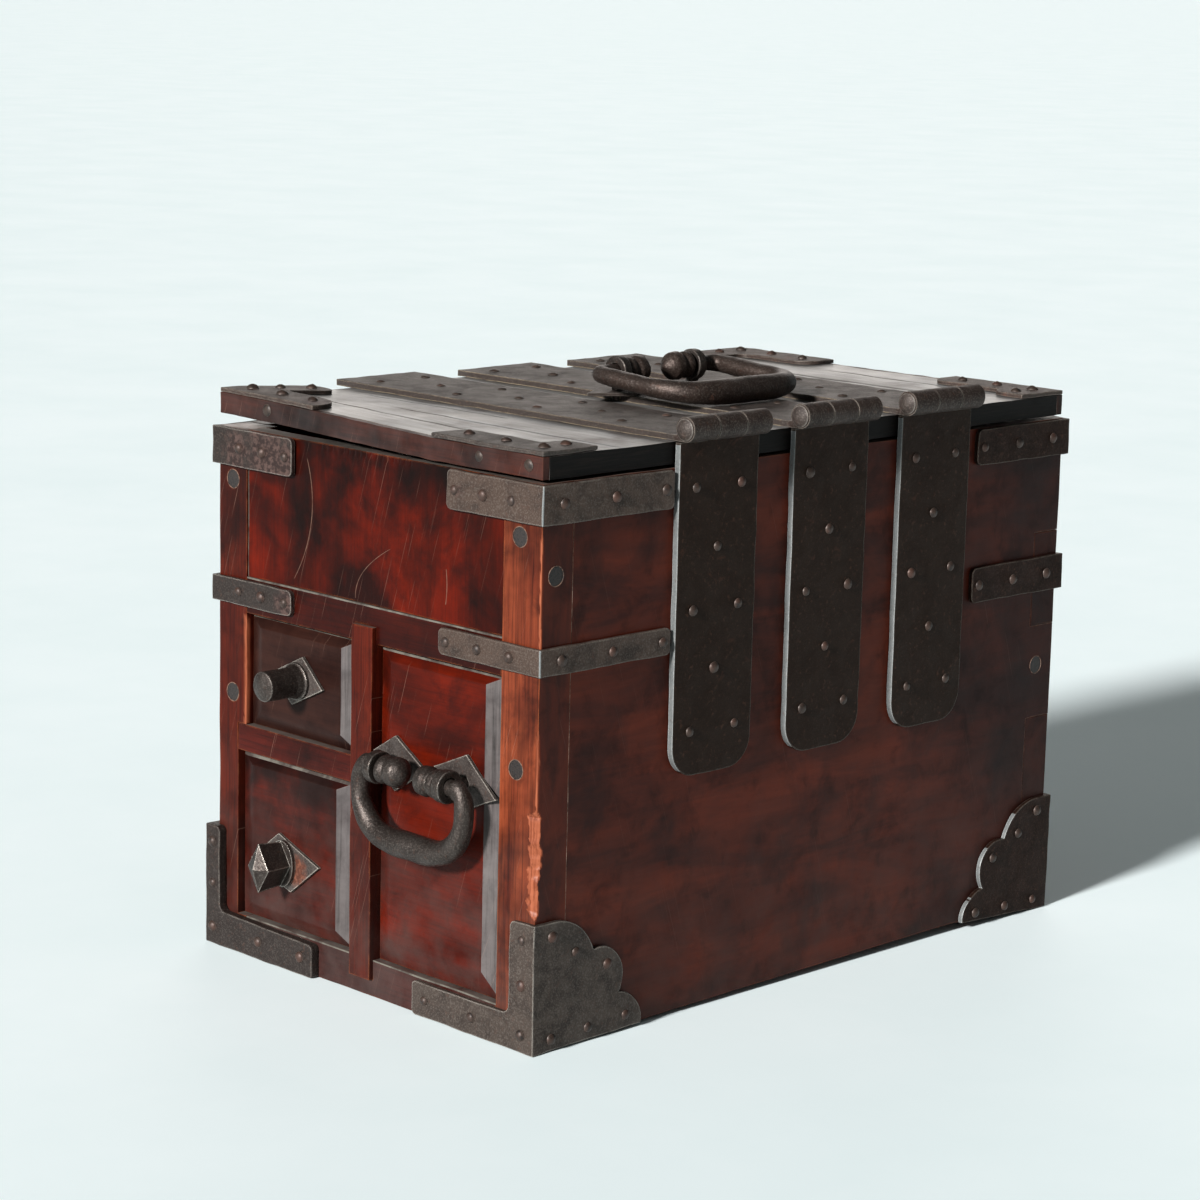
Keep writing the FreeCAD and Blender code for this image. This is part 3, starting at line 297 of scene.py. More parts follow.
# ---- Iron finishes ----
def wrought_iron(name, ground, rust, worn, shift, rusty, pitted=0.0003, metallic=0.45, roughness=0.5,
                 mottle=0.7, speckle=0.2, fleck="8a8179", bloomed=("2c1c18", "54403a"), shine=0.5):
    """Wrought iron, forged by hand and blackened over charcoal: brown-black oxide skin with pits and
    speckles, rust in patches, bright grey where the edges rub."""
    def surface(tree):
        skin = uneven(tree, 0.016, shift, detail=6.0, warp=0.6)         # patches of oxide 10 to 20 mm wide
        speck = uneven(tree, 0.0011, shift + 0.3, detail=3.0)           # grains of scale, coarser to show
        pits = uneven(tree, 0.0030, shift + 0.5, detail=5.0)            # rust pits of 1 to 3 mm
        bloom = uneven(tree, 0.010, shift + 0.9, detail=6.0, warp=0.6)
        edge = both(tree, arris(tree, 0.0014), part_of(tree, uneven(tree, 0.007, shift + 1.2), 0.28, 0.50))
        red = both(tree, part_of(tree, bloom, 0.80 - 0.25 * rusty, 0.94 - 0.25 * rusty), 0.8)
        patch = part_of(tree, both(tree, marked(tree, "rust"), part_of(tree, bloom, 0.2, 0.6)), 0.12, 0.5)
        painted = coats(
            tree, ground,
            (both(tree, part_of(tree, skin, 0.42, 0.66), mottle), "1c120d"),
            (both(tree, part_of(tree, speck, 0.52, 0.62), speckle), fleck),
            (both(tree, part_of(tree, speck, 0.46, 0.36), speckle), "120e0c"),
            (both(tree, part_of(tree, pits, 0.58, 0.70), 0.5), "51382d"),
            (red, rust),
            (patch, coats(tree, bloomed[0], (part_of(tree, pits, 0.45, 0.58), bloomed[1]))),
            (both(tree, edge, 0.85), worn))
        bright = add(tree, "ShaderNodeMapRange", {0: red, 3: metallic, 4: 0.0})
        gloss = coats(tree, (roughness,) * 3 + (1,),
                      (part_of(tree, skin, 0.35, 0.7), (roughness + 0.15,) * 3 + (1,)),
                      (both(tree, edge, 0.8), (roughness - 0.14,) * 3 + (1,)))
        return {"Base Color": painted, "Metallic": bright, "Roughness": gloss,
                "Normal": relief(tree, (pits, pitted), (speck, 0.0001))}
    return finish(name, surface, Specular_IOR_Level=shine)


def rusty_nail_iron(name, ground, shift):
    """Square-shanked nails with hammered heads, more rusted than the plates that they hold."""
    def surface(tree):
        skin = uneven(tree, 0.004, shift, detail=5.0)
        tone = uneven(tree, 0.02, shift + 0.5)
        painted = coats(
            tree, ground,
            (part_of(tree, skin, 0.5, 0.66), "211c1a"),
            (both(tree, part_of(tree, tone, 0.50, 0.64), 0.6), "54382e"),
            (both(tree, arris(tree, 0.001), 0.3), "8f847c"))
        return {"Base Color": painted, "Normal": relief(tree, (skin, 0.0003))}
    return finish(name, surface, Roughness=0.48, Metallic=0.35)


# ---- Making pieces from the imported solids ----
def from_solids(*nodes):
    """One mesh with the shapes of these nodes, its doubles merged and its flat faces whole."""
    mesh = bmesh.new()
    for node in nodes:
        mesh.from_mesh(cad[node].data)
    bmesh.ops.remove_doubles(mesh, verts=mesh.verts, dist=1e-6)
    bmesh.ops.dissolve_limit(mesh, angle_limit=math.radians(1), verts=mesh.verts, edges=mesh.edges)
    return mesh


def ease(mesh, width):
    """Takes the sharpness off the arrises: every edge that turns by more than 30 degrees."""
    edges = [e for e in mesh.edges if e.is_manifold and e.calc_face_angle(0) > math.radians(30)]
    bmesh.ops.bevel(mesh, geom=edges, offset=width, segments=2, profile=0.5, affect="EDGES",
                    clamp_overlap=True)


def slice_at(mesh, k, at):
    place, across = Vector(), Vector()
    place[k] = at
    across[k] = 1
    bmesh.ops.bisect_plane(mesh, geom=mesh.verts[:] + mesh.edges[:] + mesh.faces[:], dist=1e-7,
                           plane_co=place, plane_no=across)


def corners(points):
    """The low and the high corner of the box round some points."""
    return (Vector([min(p[k] for p in points) for k in range(3)]),
            Vector([max(p[k] for p in points) for k in range(3)]))


def cut_in_squares(mesh, step):
    """Cuts a mesh along planes a step apart, so that it can be worked as metal or wood is."""
    low, high = corners([v.co for v in mesh.verts])
    for k in range(3):
        count = int((high[k] - low[k]) / step)
        for i in range(1, count + 1):
            slice_at(mesh, k, low[k] + (high[k] - low[k]) * i / (count + 1))


def from_hinge(place):
    """How far a place is from the axis of the lid's hinges."""
    return math.hypot(place.x - HINGE_X, place.z - HINGE_Z)


def hammered(mesh, depth, size, seed, sway=0.0, sway_size=0.02):
    """Uneven surface, as from hammer or plane, with edges that sway a little. The bores and the pins
    of the hinges stay true, so that they turn."""
    mesh.normal_update()
    far = Vector((seed * 7.13, seed * 3.7, seed * 1.9))         # another part of the noise for each seed
    moves = []
    for v in mesh.verts:
        dent = v.normal * depth * (noise.noise(v.co / size + far) - 0.35)       # more goes in than out
        swing = sway * noise.noise_vector(v.co / sway_size + far)
        moves.append(Vector() if from_hinge(v.co) < PIN_REACH else dent + swing)
    for v, move in zip(mesh.verts, moves):
        v.co += move


def run(at, start, length):
    """How far a point has come along a stretch, from 0 to 1."""
    return min(max((at - start) / length, 0.0), 1.0)


def eased(t):
    """The same from 0 to 1, with a soft start and a soft end."""
    return t * t * (3 - 2 * t)


def lift(place):
    """The lid has cast: its front left corner stands up, and it lies flat again by its first strap."""
    across = run(-place.x, -0.057, 0.2085)
    along = run(-place.y, 0.140, 0.105)
    return CAST * (0.5 * math.sin(across * math.pi / 2) + 0.5 * eased(across)) * eased(along)


def lift_with_lid(mesh):
    for v in mesh.verts:
        v.co.z += lift(v.co)


def worked(node, edge, step, depth, size, seed, sway, sway_size, fine=()):
    """A node's shape with eased arrises, cut into squares, and more closely along the fine runs, and
    made uneven. Edge, step, depth and sway are in millimetres."""
    mesh = from_solids(node)
    ease(mesh, edge * MM)
    cut_in_squares(mesh, step * MM)
    for k, start, end, gap in fine:
        for i in range(int((end - start) / gap) + 1):
            slice_at(mesh, k, start + i * gap)
    hammered(mesh, depth * MM, size, seed, sway * MM, sway_size)
    return mesh


def mark_layer(mesh, name):
    return mesh.verts.layers.float.get(name) or mesh.verts.layers.float.new(name)


def lay_mark(mesh, name, spots):
    """Writes a mark on the mesh: each spot has its middle, its reach and its strength."""
    layer = mark_layer(mesh, name)
    for v in mesh.verts:
        for middle, reach, strength in spots:
            gap = (v.co - Vector(middle)).length / reach
            v[layer] = max(v[layer], strength * max(0.0, 1 - gap * gap))


def chip(mesh, corner, start, end, width, seed):
    """Breaks an upright arris away unevenly. Corner gives its place and its inward way on both axes."""
    layer = mark_layer(mesh, "bare")
    (a, at_a, in_a), (b, at_b, in_b) = corner

    def ragged(along, far):
        return 0.70 + 0.45 * noise.noise(Vector((along / 0.014, far, 0))) \
            + 0.35 * noise.noise(Vector((along / 0.004, far, 3.1)))

    for v in mesh.verts:
        along = v.co.z
        if start < along < end:
            fade = min(1.0, (along - start) / 0.006, (end - along) / 0.006)
            reach_a = max(1e-6, width * fade * ragged(along, seed))
            reach_b = max(1e-6, 0.55 * width * fade * ragged(along, seed + 5.5))
            u, w = (v.co[a] - at_a) * in_a / reach_a, (v.co[b] - at_b) * in_b / reach_b
            if u + w < 1:
                v.co[a] += in_a * reach_a * (1 - u - w) / 2
                v.co[b] += in_b * reach_b * (1 - u - w) / 2
                v[layer] = 1.0


def moved(mesh, shape):
    """Moves every point by what the shape function gives for it."""
    for v in mesh.verts:
        v.co += shape(v.co)


def keep_in_box(mesh):
    """Holds every point within the box round the solids."""
    low, high = cad_box
    for v in mesh.verts:
        for k in range(3):
            v.co[k] = min(max(v.co[k], low[k]), high[k])


def piece(name, mesh, materials, slot, *nodes, body=None, pick=None, smooth=40):
    """Makes the finished object, in place of these nodes, on their body."""
    keep_in_box(mesh)
    mesh.normal_update()
    for face in mesh.faces:
        face.smooth = True
        if pick:
            face.material_index = pick(face)
    data = bpy.data.meshes.new(name)
    mesh.to_mesh(data)
    mesh.free()
    for material in materials if isinstance(materials, (list, tuple)) else [materials]:
        data.materials.append(material)
    data.set_sharp_from_angle(angle=math.radians(smooth))
    made = bpy.data.objects.new(name, data)
    bpy.context.scene.collection.objects.link(made)
    even = made.modifiers.new("even_shading", "WEIGHTED_NORMAL")
    even.keep_sharp = True
    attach(made, body or body_of[nodes[0]])
    if nodes:
        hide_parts(*nodes)


# ---- Carcass, front frame and drawers ----
# The darkening under overhangs set in these finishes is painted shade, and so is the side's darkening towards the
# back.
POST = dict(deep="1a0806", warm="552114", bright="8b4328", lines=0.65, shine=0.08, overhang_shade=(0.7, 0.285, 0.340))
PANEL = dict(deep="0c0504", warm="3a0a02", bright="601303", lines=0.25, shine=0.07, scratched=0.18,
             overhang_shade=(0.9, 0.285, 0.340))
SIDE = dict(deep="180d0c", warm="3a1811", bright="602616", lines=0.1, shine=0.10, rub=0.3, low=0.5, through="x",
            scratched=0.1, painted_shade_to_back=0.7, overhang_shade=(0.45, 0.27, 0.345))
FIELD = dict(deep="120605", warm="360b04", bright="5c1405", lines=0.3, shine=0.07, ledge=0.6, low=0.8)


def planed(node, material, slot, seed, edge=0.5, step=9, chips=(), sway=0.25, pick=None, fine=(), shape=None):
    """A board as a joiner leaves it and years wear it. Fine gives runs to cut more closely."""
    mesh = worked(node, edge, step, 0.12, 0.02, seed, sway, 0.03, fine)
    for i, (corner, start, end, width) in enumerate(chips):
        chip(mesh, corner, start, end, width, seed + i)
    if shape:
        moved(mesh, shape)
    piece("planed_" + node, mesh, material, slot, node, pick=pick)


PANEL_EDGE = -0.1235        # where the left post ends and the upper panel begins
near_arris = ((0, RIGHT, -1), (1, FRONT, 1))
left_inner_arris = ((0, PANEL_EDGE, -1), (1, FRONT, 1))


def hollowed_foot(place):
    """The right side stands on its two corners: its lower edge is hollow between them."""
    t = run(place.y, FRONT, DEPTH)
    rise = 5.6 * MM * min(1.0, t / 0.8) ** 0.7 * min(1.0, (1 - t) / 0.2)
    return Vector((0, 0, rise * max(0.0, 1 - place.z / 0.020) * (place.x > 0.100)))


def top_strip(node, reach):
    """The cut and the pick for the narrow strip along the top front of a piece: pale with dust, and a painted
    highlight where its arris faces the light.
    """
    start = max(v.co.z for v in cad[node].data.vertices) - reach * MM
    return dict(fine=((2, start, start, 1),),
                pick=lambda face: 1 if face.calc_center_median().z > start and face.normal.y < -0.2 else 0)


# Pale: dust in the joints, and along the top arrises of rails and drawer fronts a painted highlight.
joint_dust_and_painted_highlight = filler_line("frame_joint_dust_and_painted_highlight", "625e55", "352c26", 0.016)
planed("front_post_right",
       (lacquered_zelkova("wiped_zelkova_right_post", "z", **POST, shift=0.1, dark=0.8),
        lacquered_zelkova("wiped_zelkova_right_post_outside", "z", **SIDE, shift=2.4, dark=0.7)),
       "front_lacquer", step=3.2, seed=2, pick=lambda face: 1 if face.normal.x > 0.8 else 0,
       fine=((0, RIGHT - 0.0110, RIGHT, 0.0011), (1, FRONT, FRONT + 0.0088, 0.0011), (2, 0.080, 0.160, 0.0014)),
       chips=((near_arris, 0.083, 0.152, 0.0095), (near_arris, 0.150, 0.20, 0.0022),
              (near_arris, 0.235, 0.318, 0.0018)))
for seed, (node, name, along, warm, bright, shift, dark, step, more) in enumerate((
        ("front_post_left", "left_post", "z", "360e08", "521a0c", 1.3, 0.75, 4,
         dict(chips=((left_inner_arris, 0.152, 0.226, 0.0035),))),
        ("centre_stile", "stile", "z", "350e08", "52190c", 2.2, 0.45, 5, {}),
        ("upper_rail", "upper_rail", "x", "260805", "3d1008", 3.1, 0.8, 6, top_strip("upper_rail", 1.1)),
        ("middle_rail", "middle_rail", "x", "340e09", "50170f", 4.3, 0.7, 6, {}),
        ("bottom_rail", "bottom_rail", "x", "2a1310", "411c17", 5.4, 0.7, 6, top_strip("bottom_rail", 1.0))), 3):
    wood = lacquered_zelkova("wiped_zelkova_" + name, along, **dict(POST, warm=warm, bright=bright), shift=shift,
                             dark=dark, dust=0.1 if node == "bottom_rail" else 0.0)
    planed(node, (wood, joint_dust_and_painted_highlight) if "pick" in more else wood, "front_lacquer", step=step, seed=seed, **more)
PANEL_LEFT = PANEL_EDGE + 0.9 * MM        # dust fills the joint as far as this
DENTS_START, DENTS_END, DENT_PITCH, DENTS_FOOT = -0.053, 0.037, 5.3 * MM, 0.3415
panel_scratches = (((-0.065, 0.336), (-0.077, 0.256), 0.011), ((0.016, 0.289), (-0.017, 0.253), -0.009),
                   ((0.067, 0.284), (0.067, 0.262), 0.001))


def lashing_dents(place):
    """A row of dents along the panel's top, where a lashing has been drawn tight."""
    if not DENTS_START < place.x < DENTS_END or place.y > FRONT + 1.5 * MM or place.z < DENTS_FOOT:
        return Vector()
    press = max(0.0, math.sin((place.x - DENTS_START) / DENT_PITCH * 2 * math.pi))
    return Vector((0, 0.8 * MM * press * min(1.0, (place.z - DENTS_FOOT) / (2 * MM)), 0))


planed("upper_front_panel", (lacquered_zelkova("wiped_zelkova_upper_panel", "z", **PANEL, shift=6.3, dark=1.1,
                                               roughness=0.36, scratches=panel_scratches), joint_dust_and_painted_highlight),
       "front_lacquer", step=10, seed=8, shape=lashing_dents,
       fine=((0, PANEL_LEFT, PANEL_LEFT, 1), (0, DENTS_START, DENTS_END, DENT_PITCH / 4),
             (2, DENTS_FOOT, DENTS_FOOT + 2 * MM, 2 * MM)),
       pick=lambda face: 1 if face.calc_center_median().x < PANEL_LEFT else 0)

# Grey on the drawers' right bevels: a painted reflection of the pale room, with a little dust.
painted_sheen_and_dust_bevel = lacquered_zelkova("wiped_zelkova_dusty_bevel", "z", deep="1f1a18", warm="3f3837", bright="5a5351",
                                shift=7.7, dark=0.4, dust=0.3, roughness=0.5, low=0.0, lines=0.9)

# Under the rail above the lower and tall drawer fronts their top is darker: painted shade.
for number, (drawer, tone, dark, pale_top_reach) in enumerate((
        ("upper_drawer", dict(FIELD, warm="20110e", bright="311b15"), 0.8, 0.5),
        ("lower_drawer", dict(FIELD, overhang_shade=(0.9, 0.070, 0.118)), 0.9, 2.0),
        ("tall_drawer", dict(FIELD, overhang_shade=(0.4, 0.175, 0.215)), 0.5, 1.4))):
    strip = top_strip(drawer + "_front", pale_top_reach)
    planed(drawer + "_front", (lacquered_zelkova("wiped_zelkova_%s_front" % drawer, "x", **tone,
                                                 shift=8.1 + number, dark=dark), joint_dust_and_painted_highlight, painted_sheen_and_dust_bevel),
           "front_lacquer", step=8, seed=9 + number, fine=strip["fine"],
           pick=lambda face: strip["pick"](face) or (2 if face.normal.x > 0.12 and face.normal.y < -0.3 else 0))
    paulownia = plain_paulownia("planed_paulownia_" + drawer, "y", 9.0 + number)
    planed(drawer + "_box", paulownia, "plain_wood", step=30, seed=12 + number)
    planed(drawer + "_bottom", paulownia, "plain_wood", step=30, seed=15 + number)


POST_SEAM, FINGERS_FRONT, FINGERS_BACK = -0.2193, 0.215, 0.2444        # along Y on the right side


def side_joints(face):
    """The eased edges along the post and round the fingers, where dust and old filler lie."""
    middle = face.calc_center_median()
    at_fingers = FINGERS_FRONT < middle.y < FINGERS_BACK and 0.001 < middle.z < 0.3455 and face.normal.x < 0.95
    return 1 if middle.x > RIGHT - MM and (middle.y < POST_SEAM or at_fingers) else 0


right_lacquer, left_lacquer, back_lacquer = (
    lacquered_zelkova("wiped_lacquer_" + name, along, **SIDE, shift=shift, dark=0.6, roughness=roughness)
    for name, along, shift, roughness in (
        ("right_side", "y", 11.3, 0.4), ("left_side", "y", 12.6, 0.4), ("back", "x", 13.9, 0.45)))
planed("side_board_right", (right_lacquer, filler_line("dusty_joint_filler", "8a7466", "33261f")),
       "side_lacquer", edge=0.6, step=14, seed=18, pick=side_joints, shape=hollowed_foot)
planed("side_board_left", left_lacquer, "side_lacquer", step=14, seed=19)
planed("back_board", back_lacquer, "side_lacquer", step=14, seed=20)
inner_paulownia = plain_paulownia("planed_paulownia_inside", "y", 4.4)
for number, node in enumerate(("bottom_board", "compartment_floor", "drawer_partition", "drawer_shelf",
                               "drawer_runners")):
    planed(node, inner_paulownia, "plain_wood", step=30, seed=21 + number,
           shape=hollowed_foot if node == "bottom_board" else None)
planed("wooden_plugs", plug_end_grain("dark_plug_end_grain"), "plug_wood", edge=0.4, step=8, seed=26, sway=0)


# ---- Lid boards ----
def cracks_along(mesh, cracks, top):
    """Opens drying cracks in the top: each has its Y, where it starts and ends along X, and its depth."""
    layer = mark_layer(mesh, "bare")
    for y, start, end, depth in cracks:
        for offset in (-0.0009, -0.0003, 0.0003, 0.0009):
            slice_at(mesh, 1, y + offset)
        for v in mesh.verts:
            if v.co.z > top - 0.0006 and start < v.co.x < end and abs(v.co.y - y) < 0.0005:
                opening = max(0.0, min(1.0, (v.co.x - start) / 0.02, (end - v.co.x) / 0.02))
                v.co.z -= depth * opening
                v[layer] = opening


lid_boards = worked("lid_boards", 0.7, 9, 0.35, 0.016, 31, 0.3, 0.03)
cracks_along(lid_boards, (
    (-0.206, -0.11, 0.04, 0.0016), (-0.180, -0.05, 0.1495, 0.0020), (-0.150, -0.13, 0.02, 0.0014),
    (-0.048, -0.13, 0.12, 0.0018), (0.056, -0.1505, 0.05, 0.0018), (0.172, -0.12, 0.10, 0.0020),
    (0.210, -0.03, 0.1495, 0.0016)), LID_TOP)
lift_with_lid(lid_boards)
piece("weathered_lid_boards", lid_boards,
      (weathered_lid_wood("weathered_zelkova_lid", 1.7), gripped_lid_edge("gripped_black_lid_edge")), "lid_wood",
      "lid_boards", pick=lambda face: 1 if abs(face.normal.z) < 0.8 and face.normal.x > 0.2 else 0)

lid_strips = worked("lid_end_strips", 0.6, 5, 0.4, 0.012, 32, 0.3, 0.02)
lift_with_lid(lid_strips)
strip_lacquer = lacquered_zelkova("worn_lacquer_lid_edge", "x", deep="0a0605", warm="24110c", bright="3f1d15",
                                  shift=2.9, dark=0.9, dust=0.08, shine=0.1, roughness=0.45, rub=0.1, ledge=0.0,
                                  low=0.0)
piece("worn_lid_end_strips", lid_strips, strip_lacquer, "lid_edge_wood", "lid_end_strips")


# ---- Ironwork ----
def forged(node, material, slot, seed, edge=0.5, step=5, dents=0.3, sway=0.45, rust=(), lifted=False,
           shape=None, pick=None):
    """A piece of iron plate as it left the hammer."""
    mesh = worked(node, edge, step, dents, 0.011, seed, sway, 0.022)
    lay_mark(mesh, "rust", rust)
    if shape:
        moved(mesh, shape)
    if lifted:
        lift_with_lid(mesh)
    piece("forged_" + node, mesh, material, slot, node, pick=pick)


def front_edge(face):
    """Strap and shoe edges that face the front, up to the straps' knuckles: rubbed bright, and painted pale where
    the light falls on them.
    """
    return 1 if face.normal.y < -0.6 and face.calc_center_median().z < 0.360 else 0


def dusty_strap_edge_with_painted_highlight(face):
    """Dust lies along the straps' front edges on the lid, up to their knuckles, with a painted highlight where
    the light falls on them.
    """
    middle = face.calc_center_median()
    return 1 if face.normal.y < -0.75 and middle.x < 0.142 and middle.z < LID_TOP + 0.004 else 0


def corner_arris(face):
    """The bands' upright arris at the front right corner is rubbed bright and carries a painted highlight."""
    return 1 if face.normal.x > 0.3 and face.normal.y < -0.3 else 0


def shoe_droop(place):
    """The front left shoe's foot sags a little towards its free end."""
    front = place.y < -0.2449
    return Vector((0, 0, -2 * MM * run(place.x, -0.150, 0.100) * front * min(1.0, place.z / (3 * MM))))


band_iron = wrought_iron("wrought_iron_bands", "4a3a31", "6b4336", "b9b2a8", 0.4, rusty=0.45)
left_iron = wrought_iron("wrought_iron_left_bands", "2a211d", "452d26", "b0a89e", 8.4, rusty=0.6, speckle=0.12,
                         mottle=0.5)
shoe_iron = wrought_iron("wrought_iron_shoes", "443932", "66402f", "bdb6ac", 1.4, rusty=0.4)
# A darker copy of the bands' iron for the far end: painted shade.
far_iron_painted_shade = wrought_iron("wrought_iron_far_bands_painted_shade", "26150e", "44271d", "7b736a", 9.4, rusty=0.6,
                        speckle=0.12, fleck="6b564a", shine=0.15)
strap_iron = wrought_iron("wrought_iron_straps", "24170f", "44281c", "6f6a63", 2.4, rusty=0.7, metallic=0.25,
                          roughness=0.55, speckle=0.12, mottle=0.35, fleck="503a2e", shine=0.15)
lid_iron = wrought_iron("wrought_iron_lid_straps", "3b322d", "4f382e", "7f7972", 3.4, rusty=0.5, metallic=0.3,
                        roughness=0.56)
# Pale iron for edges that face the light: rubbed, with a painted highlight.
rubbed_edge_with_painted_highlight = wrought_iron("wrought_iron_rubbed_edge", "6d7171", "6f6058", "c8cac8", 7.4, rusty=0.1,
                           metallic=0.2, roughness=0.45, mottle=0.15, speckle=0.2)
# Pale edges of the lid straps: dust, with a painted highlight.
dusty_edge_with_painted_highlight = wrought_iron("wrought_iron_dusty_edge", "2b211b", "3c2b22", "a8987d", 6.9, rusty=0.2,
                          metallic=0.0, roughness=0.6, mottle=0.4, speckle=0.1)
plate_iron = wrought_iron("wrought_iron_drawer_plates", "4c4440", "6b4436", "c9c2b6", 4.4, rusty=0.45,
                          bloomed=("5a3427", "7f4f3d"))
handle_iron = wrought_iron("forged_iron_handles", "403935", "654638", "b8b2a9", 5.4, rusty=0.3,
                           pitted=0.0005, metallic=0.7, roughness=0.38)

BAND_FACE = -0.2485         # the front of the bands
forged("upper_band_front_left", left_iron, "band_iron", seed=41, rust=(
    ((-0.095, BAND_FACE, 0.334), 0.030, 1.0), ((-0.130, BAND_FACE, 0.330), 0.020, 0.7)))
forged("upper_band_front_right", (band_iron, rubbed_edge_with_painted_highlight), "band_iron", edge=0.9, seed=42, pick=corner_arris,
       rust=(((0.082, BAND_FACE, 0.333), 0.008, 0.4),))
forged("upper_bands_back", far_iron_painted_shade, "band_iron", seed=43)
forged("lower_band_front_left", left_iron, "band_iron", seed=44, rust=(((-0.080, BAND_FACE, 0.240), 0.014, 0.9),))
forged("lower_band_front_right", (band_iron, rubbed_edge_with_painted_highlight), "band_iron", edge=0.9, seed=45, pick=corner_arris,
       rust=(((0.068, BAND_FACE, 0.240), 0.008, 0.4),))
forged("lower_bands_back", far_iron_painted_shade, "band_iron", seed=46)
forged("corner_shoe_front_left", left_iron, "plate_iron", edge=0.9, seed=47, shape=shoe_droop)
forged("corner_shoe_front_right", shoe_iron, "plate_iron", seed=48, shape=hollowed_foot)
forged("corner_shoe_back_left", far_iron_painted_shade, "plate_iron", seed=49)
forged("corner_shoe_back_right", (far_iron_painted_shade, rubbed_edge_with_painted_highlight), "plate_iron", seed=50, pick=front_edge,
       shape=hollowed_foot)
knuckle_iron = wrought_iron("wrought_iron_knuckles", "352a25", "4d3429", "8a8278", 10.4, rusty=0.5, metallic=0.3,
                            roughness=0.5, shine=0.3)


def rolled(pick):
    """Puts the rolled knuckles round the hinge axis in a material of their own."""
    def choose(face):
        return 2 if from_hinge(face.calc_center_median()) < KNUCKLE_REACH else pick(face)
    return choose


for number in (1, 2, 3):
    forged("hanging_strap_%d" % number, (strap_iron, rubbed_edge_with_painted_highlight, knuckle_iron), "band_iron", edge=0.6, step=6,
           seed=50 + number, dents=0.35, sway=0.25, pick=rolled(front_edge))
    forged("lid_strap_%d" % number, (lid_iron, dusty_edge_with_painted_highlight, knuckle_iron), "lid_iron", edge=0.6, step=6,
           seed=54 + number, dents=0.35, sway=0.25, pick=rolled(dusty_strap_edge_with_painted_highlight))
forged("hinge_pins", lid_iron, "band_iron", edge=0.5, step=4, sway=0, dents=0.15, seed=58)
rusty_plate = wrought_iron("rusty_iron_lid_plate", "3b2c25", "5a3626", "8f857a", 6.4, rusty=0.8,
                           metallic=0.3, roughness=0.56)
forged("lid_plate_front_left", rusty_plate, "lid_iron", seed=61, lifted=True,
       rust=(((-0.070, -0.232, 0.364), 0.014, 1.0), ((-0.140, -0.180, 0.364), 0.012, 0.8)))
forged("lid_plate_front_right", lid_iron, "lid_iron", edge=0.8, seed=62, lifted=True,
       shape=lambda p: Vector((0, 0, -0.0012 * max(0.0, 1 - abs(p.x - 0.09) / 0.04) * (p.y < -0.2455))))
forged("lid_plate_back_left", rusty_plate, "lid_iron", seed=63)
forged("lid_plate_back_right", rusty_plate, "lid_iron", seed=64)
forged("lid_bail_plates", lid_iron, "lid_iron", edge=0.4, step=4, sway=0.3, seed=65)
for number, node in enumerate(("upper_drawer_plate", "lower_drawer_plate", "tall_drawer_plates")):
    forged(node, plate_iron, "plate_iron", edge=0.4, step=3, sway=0.3, dents=0.25, seed=66 + number,
           rust=(((-0.070, -0.247, 0.066), 0.014, 1.0),))


def as_evaluated(holder):
    """The plain mesh that an object's modifiers make of it, in the object's place."""
    result = bpy.data.meshes.new_from_object(holder.evaluated_get(bpy.context.evaluated_depsgraph_get()))
    bpy.data.objects.remove(holder)
    mesh = bmesh.new()
    mesh.from_mesh(result)
    bpy.data.meshes.remove(result)
    return mesh


def rounded_iron(node, voxel, depth, size, seed, material):
    """Round forged work, such as handles, rings and knobs: one skin, softened and pitted."""
    rough = bpy.data.meshes.new("rough_" + node)
    mesh = from_solids(node)
    mesh.to_mesh(rough)
    mesh.free()
    blank = bpy.data.objects.new("blank_" + node, rough)
    bpy.context.scene.collection.objects.link(blank)
    skin = blank.modifiers.new("skin", "REMESH")
    skin.mode = "VOXEL"
    skin.voxel_size = voxel * MM
    soft = blank.modifiers.new("soften", "SMOOTH")
    soft.factor = 0.5
    soft.iterations = 3
    mesh = as_evaluated(blank)
    hammered(mesh, depth * MM, size, seed)
    piece("forged_" + node, mesh, material, "handle_iron", node, smooth=70)


rusty_handle = wrought_iron("forged_iron_lid_handle", "3e322c", "6a4334", "a39a90", 5.9, rusty=0.6,
                            pitted=0.0005, metallic=0.6, roughness=0.42)
for seed, (node, voxel, depth, size) in enumerate((
        ("tall_drawer_bail", 0.9, 0.5, 0.012), ("lid_bail", 1.0, 0.5, 0.013),
        ("tall_drawer_eyebolts", 0.7, 0.3, 0.008), ("lid_eyebolts", 0.8, 0.3, 0.008),
        ("upper_drawer_knob", 0.5, 0.3, 0.008)), 71):
    rounded_iron(node, voxel, depth, size, seed, rusty_handle if node == "lid_bail" else handle_iron)
forged("lower_drawer_knob", handle_iron, "handle_iron", edge=0.7, step=3, sway=0.2, dents=0.3, seed=76)


# ---- Nails, repeated from one head ----
def islands(node):
    """The separate solids in a node, as lists of points."""
    mesh = bmesh.new()
    mesh.from_mesh(cad[node].data)
    bmesh.ops.remove_doubles(mesh, verts=mesh.verts, dist=1e-6)
    mesh.verts.index_update()
    seen, groups = set(), []
    for first in mesh.verts:
        if first.index in seen:
            continue
        seen.add(first.index)
        group, edge = [first.co.copy()], [first]
        while edge:
            for link in edge.pop().link_edges:
                for v in link.verts:
                    if v.index not in seen:
                        seen.add(v.index)
                        edge.append(v)
                        group.append(v.co.copy())
        groups.append(group)
    mesh.free()
    return groups


